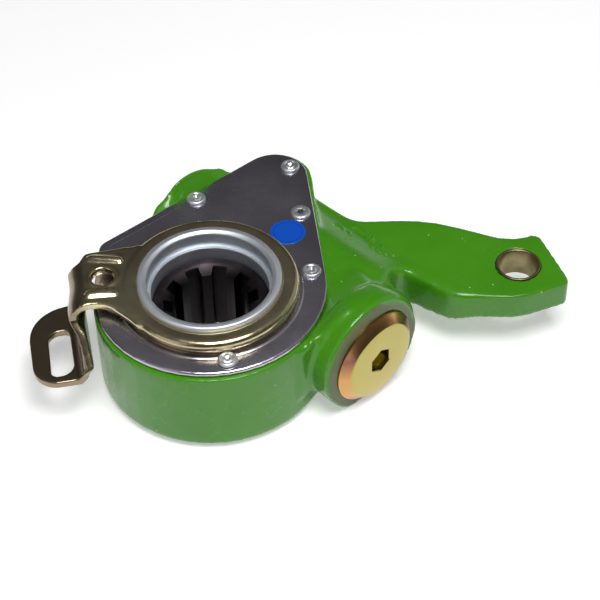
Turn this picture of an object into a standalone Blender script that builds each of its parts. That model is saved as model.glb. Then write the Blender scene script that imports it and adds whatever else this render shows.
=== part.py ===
"""Brake slack adjuster: a cast lever body with a worm and wheel inside and a slotted control arm.

Frame: the origin is on the spline axis at the body's back face, +Z points to the cover side
and +X runs through the centre of the clevis hole. Every size is in millimetres times MM.
"""

import math

import bmesh
import bpy
from mathutils import Matrix, Vector

MM = 0.001

# Lever and body
ARM_LENGTH = 127.0 * MM
BODY_HEIGHT = 37.5 * MM
BODY_RADIUS = 46.8 * MM
BODY_EDGE = 2.4 * MM
LEVER_MIDDLE = BODY_HEIGHT / 2 + 3.45 * MM
LEVER_THICKNESS = 12.7 * MM
LEVER_EDGE = 1.8 * MM
CORNER_CENTRE = (37.2 * MM, 62.4 * MM)
CORNER_RADIUS = 16.0 * MM
EAR_CENTRE = (-35.2 * MM, 31.6 * MM)
EAR_RADIUS = 6.4 * MM
EYE_END = 18.2 * MM
SLOPE_TOP = 57.0 * MM
SLOPE_FOOT = 73.5 * MM
ROOT_INSET = 0.5 * MM
BOSS_INSET = 0.9 * MM
BOSS_BELOW = 1.9 * MM
FAR_INSET = 1.3 * MM

# Gear pair
MODULE = 2.2 * MM
WHEEL_TEETH = 24
WORM_PITCH_RADIUS = 7.7 * MM
WHEEL_RADIUS = WHEEL_TEETH * MODULE / 2
AXIS_DISTANCE = WHEEL_RADIUS + WORM_PITCH_RADIUS
LEAD = math.pi * MODULE
LEAD_ANGLE = math.atan2(LEAD, 2 * math.pi * WORM_PITCH_RADIUS)
ADDENDUM = 2.0 * MM
DEDENDUM = 2.4 * MM
FLANK = math.tan(math.radians(20))
BACKLASH = 0.8 * MM
GEAR_WIDTH = 18.0 * MM
WORM_LENGTH = 30.0 * MM

# Worm axis: how far it is turned from the lever, and its height over the back face
WORM_TURN = math.radians(33.5)
WORM_HEIGHT = BODY_HEIGHT / 2 + 0.55 * MM

# Tunnel ends, counted from the middle of the worm towards the cap
CAP_FACE = 57.5 * MM
FAR_FACE = -51.0 * MM
BOSS_RADIUS = 24.8 * MM
BOSS_RIM = 7.0 * MM
BOSS_NECK = 28.0 * MM
FAR_BOSS_RADIUS = 24.6 * MM
FAR_BOSS_EDGE = 4.0 * MM

# Spline and wheel hub
SPLINES = 10
SPLINE_MAJOR = 19.2 * MM
SPLINE_MINOR = 15.5 * MM
SPACE_WIDTH = 5.95 * MM
SPLINE_PHASE = math.radians(-2)
HUB_RADIUS = WHEEL_RADIUS - DEDENDUM - 0.8 * MM
HUB_LOW = 0.6 * MM
HUB_HIGH = BODY_HEIGHT - 2.5 * MM
MOUTH_CHAMFER = 1.0 * MM
MOUTH_DEPTH = 2.4 * MM
HUB_SEAL_RADIUS = HUB_RADIUS + 3.2 * MM
HUB_SEAL_DEPTH = 3.4 * MM

# Control unit, from its sleeve outwards
SLEEVE_BORE = HUB_RADIUS + 1.7 * MM
SLEEVE_RADIUS = SLEEVE_BORE + 3.8 * MM
DISC_RADIUS = SLEEVE_RADIUS + 4.5 * MM
DISC_THICKNESS = 4.6 * MM
COVER_HOLE = SLEEVE_RADIUS + 2.1 * MM
STEP_RADIUS = SLEEVE_RADIUS + 8.3 * MM
STEP_HEIGHT = 0.35 * MM
RING_RADIUS = SLEEVE_RADIUS + 6.9 * MM
RING_ROUND = 2.6 * MM
WASHER_RADIUS = RING_RADIUS - 1.3 * MM
WASHER_THICKNESS = 1.5 * MM

# Cover
COVER_RADIUS = BODY_RADIUS - 0.2 * MM
COVER_CENTRE = (0.3 * MM, 1.9 * MM)
COVER_CORNER = CORNER_RADIUS - 2.2 * MM
COVER_EAR = EAR_RADIUS - 0.6 * MM
COVER_THICKNESS = 1.5 * MM
GASKET_THICKNESS = 0.4 * MM

# Control arm
ARM_SHEET = 4.1 * MM
STRAP_SHEET = 3.4 * MM
FOOT_DROP = 24.4 * MM
LUG_SINK = 0.3 * MM
RING_OVERLAP = 2.5 * MM
LUG_HOLE = 4.6 * MM
LUG_HOLE_AT = (-RING_RADIUS - 5.6 * MM, 10.2 * MM)
LUG_COLLAR = 1.7 * MM
LUG_RELIEF = 0.5 * MM
RIB_RADIUS = 1.6 * MM

# Clevis bush
BUSH_BORE = 7.95 * MM
BUSH_RADIUS = BUSH_BORE + 1.25 * MM
BUSH_PROUD = 0.25 * MM

# Fasteners
SCREW_HEAD = 3.95 * MM
SCREW_DOME = 1.8 * MM
SCREW_SHANK = 2.1 * MM
SCREW_DEPTH = 6.0 * MM
SCREWS_AT = [
    (CORNER_CENTRE[0] + 7.4 * MM, CORNER_CENTRE[1] + 3.5 * MM),
    (BODY_RADIUS - 5.4 * MM, 2.3 * MM),
    (0.7 * MM, -(BODY_RADIUS - 8.1 * MM)),
    (2.5 * MM, 54.1 * MM),
    (-(BODY_RADIUS - 8.4 * MM), 3.4 * MM),
]
FLAT_SCREW_AT = (43.5 * MM, 36.8 * MM)
FLAT_SCREW_HEAD = 4.1 * MM
FLAT_SCREW_HEIGHT = 1.1 * MM
FLAT_SCREW_KEY = 3.0 * MM

# Spring cap and what it holds
CAP_RADIUS = BOSS_RADIUS - 4.4 * MM
CAP_FACE_RADIUS = CAP_RADIUS - 3.7 * MM
CAP_PROUD = 4.0 * MM
CAP_SHANK = CAP_RADIUS - 2.1 * MM
CAP_DEPTH = 9.0 * MM
CAP_GROOVE = 1.4 * MM
CAP_GROOVE_AT = 2.4 * MM
CAP_GROOVE_WIDTH = 2.2 * MM
KEY_FLATS = 9.6 * MM
KEY_DEPTH = 7.0 * MM
CHAMBER_RADIUS = CAP_SHANK - 1.7 * MM
CHAMBER_END = 27.5 * MM
SPRING_WIRE = 2.1 * MM
SPRING_TURNS = 3.5
BEARING_THICKNESS = 3.2 * MM
CLUTCH_RADIUS = CHAMBER_RADIUS - 4.0 * MM
CLUTCH_LENGTH = 8.0 * MM
SHAFT_RADIUS = 5.0 * MM

# Adjusting end of the worm shaft
JOURNAL_RADIUS = 7.2 * MM
ADJUST_FLATS = 12.0 * MM
ADJUST_PROUD = 5.0 * MM
PLUG_RADIUS = JOURNAL_RADIUS + 4.8 * MM
PLUG_DEPTH = 9.0 * MM
PLUG_SEAL = 3.0 * MM

# Fits
SEAT = 0.1 * MM
PRESS = 0.12 * MM
RUNNING = 0.35 * MM
CLEAR = 0.3 * MM
OVERRUN = 0.01 * MM

# Heights that follow
DISC_FLOOR = BODY_HEIGHT - DISC_THICKNESS - 3 * SEAT
WHEEL_CAVITY = WHEEL_RADIUS + ADDENDUM + 2 * RUNNING
CAVITY_FLOOR = HUB_SEAL_DEPTH + 2.6 * MM
GASKET_LOW = BODY_HEIGHT + SEAT
COVER_LOW = GASKET_LOW + GASKET_THICKNESS + SEAT
COVER_TOP = COVER_LOW + COVER_THICKNESS
WASHER_LOW = COVER_TOP + STEP_HEIGHT + SEAT
RING_LOW = WASHER_LOW + WASHER_THICKNESS + CLEAR
RING_TOP = RING_LOW + ARM_SHEET
SLEEVE_TOP = RING_TOP + 1.75 * MM
SLEEVE_LIP = COVER_TOP + 0.7 * MM
FOOT_TOP = RING_TOP - FOOT_DROP
LEVER_LOW = LEVER_MIDDLE - LEVER_THICKNESS / 2
LEVER_HIGH = LEVER_MIDDLE + LEVER_THICKNESS / 2

# How far a cutter runs past the piece that it cuts
PAST = 5 * MM
REACH = 2 * ARM_LENGTH

ROUND_STEPS = 64
ARC_STEP = math.radians(9)
CUTTER_TURN = math.radians(1.3)


# Scene

def clear_scene():
    for obj in list(bpy.data.objects):
        bpy.data.objects.remove(obj)


def new_collection(name, hidden=False):
    group = bpy.data.collections.new(name)
    bpy.context.scene.collection.children.link(group)
    group.hide_render = hidden
    return group


def finish(name, colour, roughness, metallic):
    made = bpy.data.materials.new(name)
    made.use_nodes = True
    shader = made.node_tree.nodes["Principled BSDF"]
    shader.inputs["Base Color"].default_value = (*colour, 1)
    shader.inputs["Roughness"].default_value = roughness
    shader.inputs["Metallic"].default_value = metallic
    return made


def add(name, mesh, look=None, parent=None):
    """Link a mesh as a part, or as a hidden cutter when it has no finish."""
    obj = bpy.data.objects.new(name, mesh)
    obj.parent = parent
    if look is None:
        cutters.objects.link(obj)
        obj.hide_render = True
        obj.display_type = "WIRE"
        return obj
    parts.objects.link(obj)
    mesh.materials.append(look)
    mesh.shade_smooth()
    mesh.set_sharp_from_angle(angle=math.radians(35))
    return obj


def add_bmesh(name, bm, look=None, parent=None):
    bmesh.ops.recalc_face_normals(bm, faces=bm.faces)
    mesh = bpy.data.meshes.new(name)
    bm.to_mesh(mesh)
    bm.free()
    return add(name, mesh, look, parent)


# Outlines, each a list of (x, y)

def arc(centre, radius, start, end):
    steps = max(2, math.ceil(abs(end - start) / ARC_STEP))
    turns = [start + (end - start) * i / steps for i in range(steps + 1)]
    return [(centre[0] + radius * math.cos(t), centre[1] + radius * math.sin(t)) for t in turns]


def rounded(corners):
    """A closed outline through corners (x, y, fillet radius), counter-clockwise or clockwise."""
    points = []
    count = len(corners)
    for i, (x, y, radius) in enumerate(corners):
        here = Vector((x, y))
        before = (Vector(corners[i - 1][:2]) - here).normalized()
        after = (Vector(corners[(i + 1) % count][:2]) - here).normalized()
        half = before.angle(after) / 2
        if radius <= 0 or half > math.radians(89.5):
            points.append((x, y))
            continue
        centre = here + (before + after).normalized() * (radius / math.sin(half))
        first = here + before * (radius / math.tan(half)) - centre
        last = here + after * (radius / math.tan(half)) - centre
        start = math.atan2(first.y, first.x)
        sweep = math.atan2(last.y, last.x) - start
        sweep = (sweep + math.pi) % (2 * math.pi) - math.pi
        points += arc(centre, radius, start, start + sweep)
    return points


def around(circles):
    """The outline of a belt round circles (x, y, radius), which are given counter-clockwise."""
    turns = []
    for i, (x, y, radius) in enumerate(circles):
        nx, ny, next_radius = circles[(i + 1) % len(circles)]
        span = math.hypot(nx - x, ny - y)
        heading = math.atan2(ny - y, nx - x)
        turns.append(heading - math.acos((radius - next_radius) / span))
    points = []
    for i, (x, y, radius) in enumerate(circles):
        start = turns[i - 1]
        sweep = (turns[i] - start) % (2 * math.pi)
        points += arc((x, y), radius, start, start + sweep)
    return points


def circle(radius, centre=(0, 0), steps=ROUND_STEPS):
    turns = [2 * math.pi * i / steps for i in range(steps)]
    return [(centre[0] + radius * math.cos(t), centre[1] + radius * math.sin(t)) for t in turns]


def body_outline(grow=0.0):
    return around([
        (0, 0, BODY_RADIUS + grow),
        (*CORNER_CENTRE, CORNER_RADIUS + grow),
        (*EAR_CENTRE, EAR_RADIUS + grow),
    ])


def cover_outline(grow=0.0):
    return around([
        (*COVER_CENTRE, COVER_RADIUS + grow),
        (*CORNER_CENTRE, COVER_CORNER + grow),
        (*EAR_CENTRE, COVER_EAR + grow),
    ])


def hexagon(flats):
    corner = flats / math.sqrt(3)
    return circle(corner, steps=6)


# Solids

def slab(name, loops, low, high, look=None, parent=None):
    """A flat outline, with holes where it has more loops, from height low to height high."""
    data = bpy.data.curves.new(name, "CURVE")
    data.dimensions = "2D"
    data.fill_mode = "BOTH"
    data.extrude = (high - low) / 2
    for loop in loops:
        spline = data.splines.new("POLY")
        spline.points.add(len(loop) - 1)
        for point, (x, y) in zip(spline.points, loop):
            point.co = (x, y, 0, 1)
        spline.use_cyclic_u = True
    guide = bpy.data.objects.new(name + "_outline", data)
    bpy.context.scene.collection.objects.link(guide)
    graph = bpy.context.evaluated_depsgraph_get()
    mesh = bpy.data.meshes.new_from_object(guide.evaluated_get(graph))
    bpy.data.objects.remove(guide)
    mesh.materials.clear()
    bm = bmesh.new()
    bm.from_mesh(mesh)
    bmesh.ops.remove_doubles(bm, verts=bm.verts, dist=1e-6)
    bmesh.ops.translate(bm, verts=bm.verts, vec=(0, 0, (low + high) / 2))
    bm.to_mesh(mesh)
    bm.free()
    mesh.name = name
    return add(name, mesh, look, parent)


def turned(name, profile, look=None, parent=None, closed=False, steps=ROUND_STEPS):
    """A profile of (radius, height), from top to bottom down its outer side, turned about Z."""
    edges = [(i, i + 1) for i in range(len(profile) - 1)]
    if closed:
        edges.append((len(profile) - 1, 0))
    mesh = bpy.data.meshes.new(name)
    mesh.from_pydata([(r, 0, z) for r, z in profile], edges, [])
    obj = add(name, mesh, look, parent)
    screw = obj.modifiers.new("turn", "SCREW")
    screw.steps = steps
    screw.render_steps = steps
    screw.use_merge_vertices = True
    screw.merge_threshold = 1e-6
    return obj


def drum(name, radius, low, high, look=None, parent=None, steps=ROUND_STEPS):
    profile = [(0, high), (radius, high), (radius, low), (0, low)]
    return turned(name, profile, look, parent, steps=steps)


def pipe(name, inner, outer, low, high, look=None, parent=None, edge=0.0, steps=ROUND_STEPS):
    """A ring with its four edges chamfered."""
    profile = [
        (inner + edge, high), (outer - edge, high), (outer, high - edge), (outer, low + edge),
        (outer - edge, low), (inner + edge, low), (inner, low + edge), (inner, high - edge),
    ]
    if not edge:
        profile = [(inner, high), (outer, high), (outer, low), (inner, low)]
    return turned(name, profile, look, parent, closed=True, steps=steps)


def swept(name, corners, turns, lead, per_turn, look=None, parent=None):
    """A flat section in the XZ plane wound about Z, as a thread or a twisted tooth ring."""
    bm = bmesh.new()
    face = bm.faces.new([bm.verts.new((x, 0, z)) for x, z in corners])
    steps = max(2, round(abs(turns) * per_turn))
    bmesh.ops.spin(
        bm, geom=[face, *face.edges, *face.verts], cent=(0, 0, 0), axis=(0, 0, 1),
        dvec=(0, 0, lead * turns / steps), angle=2 * math.pi * turns, steps=steps,
    )
    bmesh.ops.remove_doubles(bm, verts=bm.verts, dist=1e-7)
    bmesh.ops.holes_fill(bm, edges=[e for e in bm.edges if e.is_boundary])
    return add_bmesh(name, bm, look, parent)


def boolean(target, other, operation="DIFFERENCE"):
    step = target.modifiers.new(other.name, "BOOLEAN")
    step.operation = operation
    step.solver = "EXACT"
    step.object = other


def soften(obj, width, segments=2, angle=40):
    step = obj.modifiers.new("soften", "BEVEL")
    step.width = width
    step.segments = segments
    step.limit_method = "ANGLE"
    step.angle_limit = math.radians(angle)
    step.use_clamp_overlap = True


def hole(target, name, radius, low, high, place=(0, 0), parent=None, steps=ROUND_STEPS):
    cutter = drum(name, radius, low, high, parent=parent, steps=steps)
    cutter.location = (*place, 0)
    # Each cutter is turned a little more than the last, so that no two meet along one line.
    cutter.rotation_euler = (0, 0, CUTTER_TURN * len(target.modifiers))
    boolean(target, cutter)


# Housing

def lever_outline():
    """The lever in plan, from its root in the body to the clevis eye."""
    tip = ARM_LENGTH + EYE_END
    return rounded([
        (0.16 * ARM_LENGTH, -20 * MM, 0),
        (0.52 * ARM_LENGTH, -10 * MM, 2 * MM),
        (0.618 * ARM_LENGTH, 7.5 * MM, 4.5 * MM),
        (0.764 * ARM_LENGTH, -12.2 * MM, 16 * MM),
        (0.968 * ARM_LENGTH, -18.4 * MM, 24 * MM),
        (tip, -14.2 * MM, 3.0 * MM),
        (tip - 5.2 * MM, 16.4 * MM, 4.0 * MM),
        (tip - 16.7 * MM, 14.6 * MM, 16 * MM),
        (0.764 * ARM_LENGTH, 34.5 * MM, 60 * MM),
        (0.524 * ARM_LENGTH, 39.6 * MM, 14 * MM),
        (0.398 * ARM_LENGTH, 62.0 * MM, 4 * MM),
        (0.16 * ARM_LENGTH, 50 * MM, 0),
    ])


def lever_side():
    """The lever from the side: full height at the body, sloping to the flat arm."""
    return rounded([
        (10 * MM, ROOT_INSET, 0),
        (SLOPE_TOP, ROOT_INSET, 10 * MM),
        (SLOPE_FOOT + 4 * MM, LEVER_LOW, 14 * MM),
        (REACH, LEVER_LOW, 0),
        (REACH, LEVER_HIGH, 0),
        (SLOPE_FOOT, LEVER_HIGH, 14 * MM),
        (SLOPE_TOP, BODY_HEIGHT - ROOT_INSET, 14 * MM),
        (10 * MM, BODY_HEIGHT - ROOT_INSET, 0),
    ])


def make_lever():
    lever = slab("lever", [lever_outline()], -PAST, BODY_HEIGHT + PAST)
    profile = slab("lever_side", [lever_side()], -REACH, REACH)
    profile.matrix_world = across_worm @ Matrix.Rotation(math.radians(90), 4, "X")
    boolean(lever, profile, "INTERSECT")
    soften(lever, LEVER_EDGE, segments=2, angle=55)
    return lever


def make_cap_boss():
    """The boss of the spring cap: a round face that runs down into the flat body."""
    bm = bmesh.new()
    rim = (-BOSS_BELOW, WORM_HEIGHT + BOSS_RADIUS)
    neck = (BOSS_INSET, BODY_HEIGHT - BOSS_INSET)
    for height, (low, high) in ((CAP_FACE, rim), (CAP_FACE - BOSS_RIM, rim), (BOSS_NECK, neck)):
        for x, y in circle(BOSS_RADIUS, steps=40):
            bm.verts.new((x, min(max(y, low - WORM_HEIGHT), high - WORM_HEIGHT), height))
    bmesh.ops.remove_doubles(bm, verts=bm.verts, dist=1e-6)
    bmesh.ops.convex_hull(bm, input=bm.verts)
    loose = [v for v in bm.verts if not v.link_faces]
    bmesh.ops.delete(bm, geom=loose, context="VERTS")
    boss = add_bmesh("cap_boss", bm, parent=worm_axis)
    soften(boss, 1.2 * MM, segments=2, angle=50)
    return boss


def make_far_boss():
    edge = arc((FAR_BOSS_RADIUS - FAR_BOSS_EDGE, FAR_FACE + FAR_BOSS_EDGE), FAR_BOSS_EDGE, 0, -math.pi / 2)
    boss = turned("far_boss", [(0, -12 * MM), (FAR_BOSS_RADIUS, -12 * MM), *edge, (0, FAR_FACE)],
                  parent=worm_axis, steps=48)
    under = slab("under_back_face", [circle(REACH, steps=4)], -REACH, FAR_INSET)
    boolean(boss, under)
    return boss


def make_housing():
    housing = slab("housing", [body_outline()], 0, BODY_HEIGHT, cast_green)
    soften(housing, BODY_EDGE, segments=3, angle=60)
    for piece in (make_lever(), make_cap_boss(), make_far_boss()):
        boolean(housing, piece, "UNION")

    seat = slab("cover_seat", [cover_outline(0.8 * MM)], BODY_HEIGHT, BODY_HEIGHT + BOSS_RADIUS)
    boolean(housing, seat)

    hole(housing, "back_bore", HUB_RADIUS + RUNNING, -PAST, BODY_HEIGHT)
    hole(housing, "hub_seal_seat", HUB_SEAL_RADIUS + PRESS, -PAST, HUB_SEAL_DEPTH)
    hole(housing, "wheel_cavity", WHEEL_CAVITY, CAVITY_FLOOR, BODY_HEIGHT)
    hole(housing, "disc_cavity", DISC_RADIUS + 2 * CLEAR, DISC_FLOOR, BODY_HEIGHT + PAST)

    hole(housing, "cap_bore", CAP_SHANK + PRESS, CAP_FACE - CAP_DEPTH - CLEAR, CAP_FACE + PAST,
         parent=worm_axis)
    hole(housing, "spring_chamber", CHAMBER_RADIUS, CHAMBER_END, CAP_FACE, parent=worm_axis)
    hole(housing, "worm_bore", WORM_PITCH_RADIUS + ADDENDUM + RUNNING, -WORM_LENGTH / 2 - 3 * MM,
         CHAMBER_END + PAST, parent=worm_axis)
    hole(housing, "journal_bore", JOURNAL_RADIUS + RUNNING, FAR_FACE - PAST, 0, parent=worm_axis)
    hole(housing, "plug_bore", PLUG_RADIUS + PRESS, FAR_FACE - PAST, FAR_FACE + PLUG_DEPTH,
         parent=worm_axis, steps=40)

    hole(housing, "clevis_hole", BUSH_RADIUS + PRESS, LEVER_LOW - PAST, LEVER_HIGH + PAST,
         place=(ARM_LENGTH, 0), steps=48)
    for i, screw in enumerate([*SCREWS_AT, FLAT_SCREW_AT], 1):
        hole(housing, f"screw_hole_{i}", SCREW_SHANK + PRESS, BODY_HEIGHT - SCREW_DEPTH - CLEAR,
             BODY_HEIGHT + PAST, place=screw, steps=12)


def make_body_seals():
    """The rings that keep grease in: round the hub, and round the adjusting end of the worm shaft."""
    pipe("hub_seal", HUB_RADIUS + RUNNING, HUB_SEAL_RADIUS, CLEAR, HUB_SEAL_DEPTH - SEAT, rubber_black,
         steps=48)
    inner = JOURNAL_RADIUS + RUNNING
    seal_end = FAR_FACE + PLUG_SEAL
    pipe("journal_seal", inner, PLUG_RADIUS, FAR_FACE + CLEAR, seal_end, rubber_black,
         parent=worm_axis, steps=40)
    pipe("journal_bearing", inner, PLUG_RADIUS, seal_end + SEAT, FAR_FACE + PLUG_DEPTH - SEAT,
         bush_bronze, parent=worm_axis, steps=40)


# Cover side

def make_cover():
    screws = [*SCREWS_AT, FLAT_SCREW_AT]
    holes = [circle(SCREW_SHANK + CLEAR, screw, 12) for screw in screws]
    slab("cover_gasket", [cover_outline(-0.4 * MM), circle(DISC_RADIUS + 1.2 * MM), *holes],
         GASKET_LOW, GASKET_LOW + GASKET_THICKNESS, gasket_black)
    rough_hole = circle((COVER_HOLE + STEP_RADIUS) / 2)
    cover = slab("cover_plate", [cover_outline(), rough_hole], COVER_LOW, COVER_TOP, zinc)
    step = pipe("cover_step", COVER_HOLE, STEP_RADIUS, COVER_LOW, COVER_TOP + STEP_HEIGHT)
    boolean(cover, step, "UNION")
    for i, screw in enumerate(screws, 1):
        hole(cover, f"cover_hole_{i}", SCREW_SHANK + CLEAR, COVER_LOW - PAST, COVER_TOP + PAST,
             place=screw, steps=12)
    pipe("arm_seal", SLEEVE_RADIUS + PRESS, COVER_HOLE - PRESS, COVER_LOW, COVER_TOP, rubber_black)


def screw_shank(low):
    """The plain lower end of a cover screw, as a profile."""
    point = 0.8 * MM
    return [(SCREW_SHANK, low + point), (SCREW_SHANK - point, low), (0, low)]


def make_screws():
    top = COVER_TOP + SEAT
    shank = screw_shank(BODY_HEIGHT - SCREW_DEPTH)
    rim = 0.5 * MM
    for i, (x, y) in enumerate(SCREWS_AT, 1):
        seat = top + (STEP_HEIGHT if math.hypot(x, y) < STEP_RADIUS + SCREW_HEAD else 0)
        dome = [(SCREW_HEAD * math.cos(t), seat + rim + (SCREW_DOME - rim) * math.sin(t))
                for t in (math.radians(a) for a in (72, 54, 36, 18, 0))]
        profile = [(0, seat + SCREW_DOME), *dome, (SCREW_HEAD, seat), (SCREW_SHANK, seat), *shank]
        screw = turned(f"cover_screw_{i}", profile, zinc_bright, steps=20)
        screw.location = (x, y, 0)

    head = top + FLAT_SCREW_HEIGHT
    profile = [(0, head), (FLAT_SCREW_HEAD - rim, head), (FLAT_SCREW_HEAD, head - rim),
               (FLAT_SCREW_HEAD, top), (SCREW_SHANK, top), *shank]
    plug = turned("vent_screw", profile, zinc_bright, steps=24)
    plug.location = (*FLAT_SCREW_AT, 0)
    socket = slab("vent_socket", [hexagon(FLAT_SCREW_KEY)], head - 1.2 * MM, head + PAST)
    socket.location = (*FLAT_SCREW_AT, 0)
    boolean(plug, socket)


def make_bush():
    bush = pipe("clevis_bush", BUSH_BORE, BUSH_RADIUS, LEVER_LOW - BUSH_PROUD, LEVER_HIGH + BUSH_PROUD,
                bush_bronze, edge=0.5 * MM, steps=48)
    bush.location = (ARM_LENGTH, 0, 0)


# Worm and wheel

def gear_outline():
    """Tooth flanks as straight lines between the root and tip circles."""
    pitch = math.pi * MODULE
    half = (pitch - BACKLASH) / 4
    at_tip = half - ADDENDUM * FLANK
    at_root = half + DEDENDUM * FLANK
    points = []
    for i in range(WHEEL_TEETH):
        middle = WORM_TURN + 2 * math.pi * i / WHEEL_TEETH
        root = WHEEL_RADIUS - DEDENDUM
        tip = WHEEL_RADIUS + ADDENDUM
        for radius, width in ((root, -at_root), (tip, -at_tip), (tip, at_tip), (root, at_root)):
            turn = middle + width / radius
            points.append((radius * math.cos(turn), radius * math.sin(turn)))
    return points


def spline_outline():
    half = SPACE_WIDTH / 2
    inner = math.asin(half / SPLINE_MINOR)
    outer = math.asin(half / SPLINE_MAJOR)
    points = []
    for i in range(SPLINES):
        middle = SPLINE_PHASE + 2 * math.pi * i / SPLINES
        points += arc((0, 0), SPLINE_MAJOR, middle - outer, middle + outer)
        points += arc((0, 0), SPLINE_MINOR, middle + inner, middle + 2 * math.pi / SPLINES - inner)
    return points


def make_wheel():
    edge = 0.6 * MM
    ring_low = WORM_HEIGHT - GEAR_WIDTH / 2
    wheel = pipe("worm_wheel", SPLINE_MINOR - 1.5 * MM, HUB_RADIUS, HUB_LOW, HUB_HIGH, wheel_steel,
                 edge=edge)
    wheel.parent = wheel_axis

    bm = bmesh.new()
    face = bm.faces.new([bm.verts.new((x, y, 0)) for x, y in gear_outline()])
    steps = 4
    twist = GEAR_WIDTH * math.tan(LEAD_ANGLE) / WHEEL_RADIUS
    bmesh.ops.spin(bm, geom=[face, *face.edges, *face.verts], cent=(0, 0, 0), axis=(0, 0, 1),
                   dvec=(0, 0, GEAR_WIDTH / steps), angle=twist, steps=steps)
    bmesh.ops.holes_fill(bm, edges=[e for e in bm.edges if e.is_boundary])
    bmesh.ops.rotate(bm, verts=bm.verts, cent=(0, 0, 0),
                     matrix=Matrix.Rotation(-twist / 2, 3, "Z"))
    bmesh.ops.translate(bm, verts=bm.verts, vec=(0, 0, ring_low))
    teeth = add_bmesh("wheel_teeth", bm, parent=wheel_axis)
    boolean(wheel, teeth, "UNION")

    splines = slab("spline_cut", [spline_outline()], HUB_LOW - PAST, HUB_HIGH + PAST, parent=wheel_axis)
    boolean(wheel, splines)
    wide = SPLINE_MAJOR + MOUTH_CHAMFER
    narrow = SPLINE_MINOR - 0.2 * MM
    high = [(0, HUB_HIGH + OVERRUN), (wide, HUB_HIGH + OVERRUN), (narrow, HUB_HIGH - MOUTH_DEPTH),
            (0, HUB_HIGH - MOUTH_DEPTH)]
    low = [(0, HUB_LOW + MOUTH_DEPTH), (narrow, HUB_LOW + MOUTH_DEPTH), (wide, HUB_LOW - OVERRUN),
           (0, HUB_LOW - OVERRUN)]
    boolean(wheel, turned("high_mouth", high, parent=wheel_axis))
    boolean(wheel, turned("low_mouth", low, parent=wheel_axis))


def make_worm():
    root = WORM_PITCH_RADIUS - DEDENDUM
    half = WORM_LENGTH / 2
    shaft_end = CAP_FACE - CAP_DEPTH - 4 * MM
    profile = [
        (0, shaft_end), (SHAFT_RADIUS - 0.6 * MM, shaft_end), (SHAFT_RADIUS, shaft_end - 0.6 * MM),
        (SHAFT_RADIUS, CHAMBER_END - 2 * MM), (root, CHAMBER_END - 4 * MM), (root, -half - 2 * MM),
        (JOURNAL_RADIUS, -half - 5 * MM), (JOURNAL_RADIUS, FAR_FACE + 1 * MM),
        (SHAFT_RADIUS, FAR_FACE + 0.5 * MM), (0, FAR_FACE + 0.5 * MM),
    ]
    worm = turned("worm_shaft", profile, worm_steel, parent=worm_spin, steps=32)

    tooth = (math.pi * MODULE - BACKLASH) / 4
    at_tip = tooth - ADDENDUM * FLANK
    sunk = root - 0.4 * MM
    at_root = tooth + (WORM_PITCH_RADIUS - sunk) * FLANK
    turns = round(WORM_LENGTH / LEAD)
    bottom = -turns * LEAD / 2
    tip = WORM_PITCH_RADIUS + ADDENDUM
    thread = swept("worm_thread", [(sunk, bottom - at_root), (tip, bottom - at_tip),
                                   (tip, bottom + at_tip), (sunk, bottom + at_root)],
                   turns, LEAD, 28, parent=worm_spin)
    boolean(worm, thread, "UNION")
    adjuster = slab("adjusting_hexagon", [hexagon(ADJUST_FLATS)], FAR_FACE - ADJUST_PROUD,
                    FAR_FACE + 8 * MM, parent=worm_spin)
    soften(adjuster, 0.5 * MM, segments=1, angle=70)
    boolean(worm, adjuster, "UNION")


def make_spring_pack():
    """What stands in the chamber behind the cap, from the worm outwards."""
    low = CHAMBER_END + CLEAR
    pipe("thrust_bearing", SHAFT_RADIUS + RUNNING, CHAMBER_RADIUS - 2 * MM, low,
         low + BEARING_THICKNESS, bearing_steel, edge=0.4 * MM, parent=worm_axis, steps=40)
    low += BEARING_THICKNESS + CLEAR
    clutch = pipe("clutch_ring", SHAFT_RADIUS + RUNNING, CLUTCH_RADIUS - 4 * MM, low, low + CLUTCH_LENGTH,
                  bearing_steel, edge=0.4 * MM, parent=worm_axis, steps=40)
    flange = pipe("clutch_flange", SHAFT_RADIUS + RUNNING, CLUTCH_RADIUS, low, low + 2 * MM,
                  parent=worm_axis, steps=40)
    boolean(clutch, flange, "UNION")

    coil_radius = CLUTCH_RADIUS - 0.6 * MM
    wire = SPRING_WIRE / 2
    start = low + 2 * MM + CLEAR + wire
    end = CAP_FACE - CAP_DEPTH - CLEAR - wire
    data = bpy.data.curves.new("pressure_spring", "CURVE")
    data.dimensions = "3D"
    data.bevel_depth = wire
    data.bevel_resolution = 2
    data.use_fill_caps = True
    spline = data.splines.new("POLY")
    count = round(SPRING_TURNS * 16)
    spline.points.add(count)
    for i, point in enumerate(spline.points):
        turn = 2 * math.pi * SPRING_TURNS * i / count
        height = start + (end - start) * i / count
        point.co = (coil_radius * math.cos(turn), coil_radius * math.sin(turn), height, 1)
    spring = bpy.data.objects.new("pressure_spring", data)
    spring.parent = worm_axis
    data.materials.append(spring_steel)
    parts.objects.link(spring)


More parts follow.
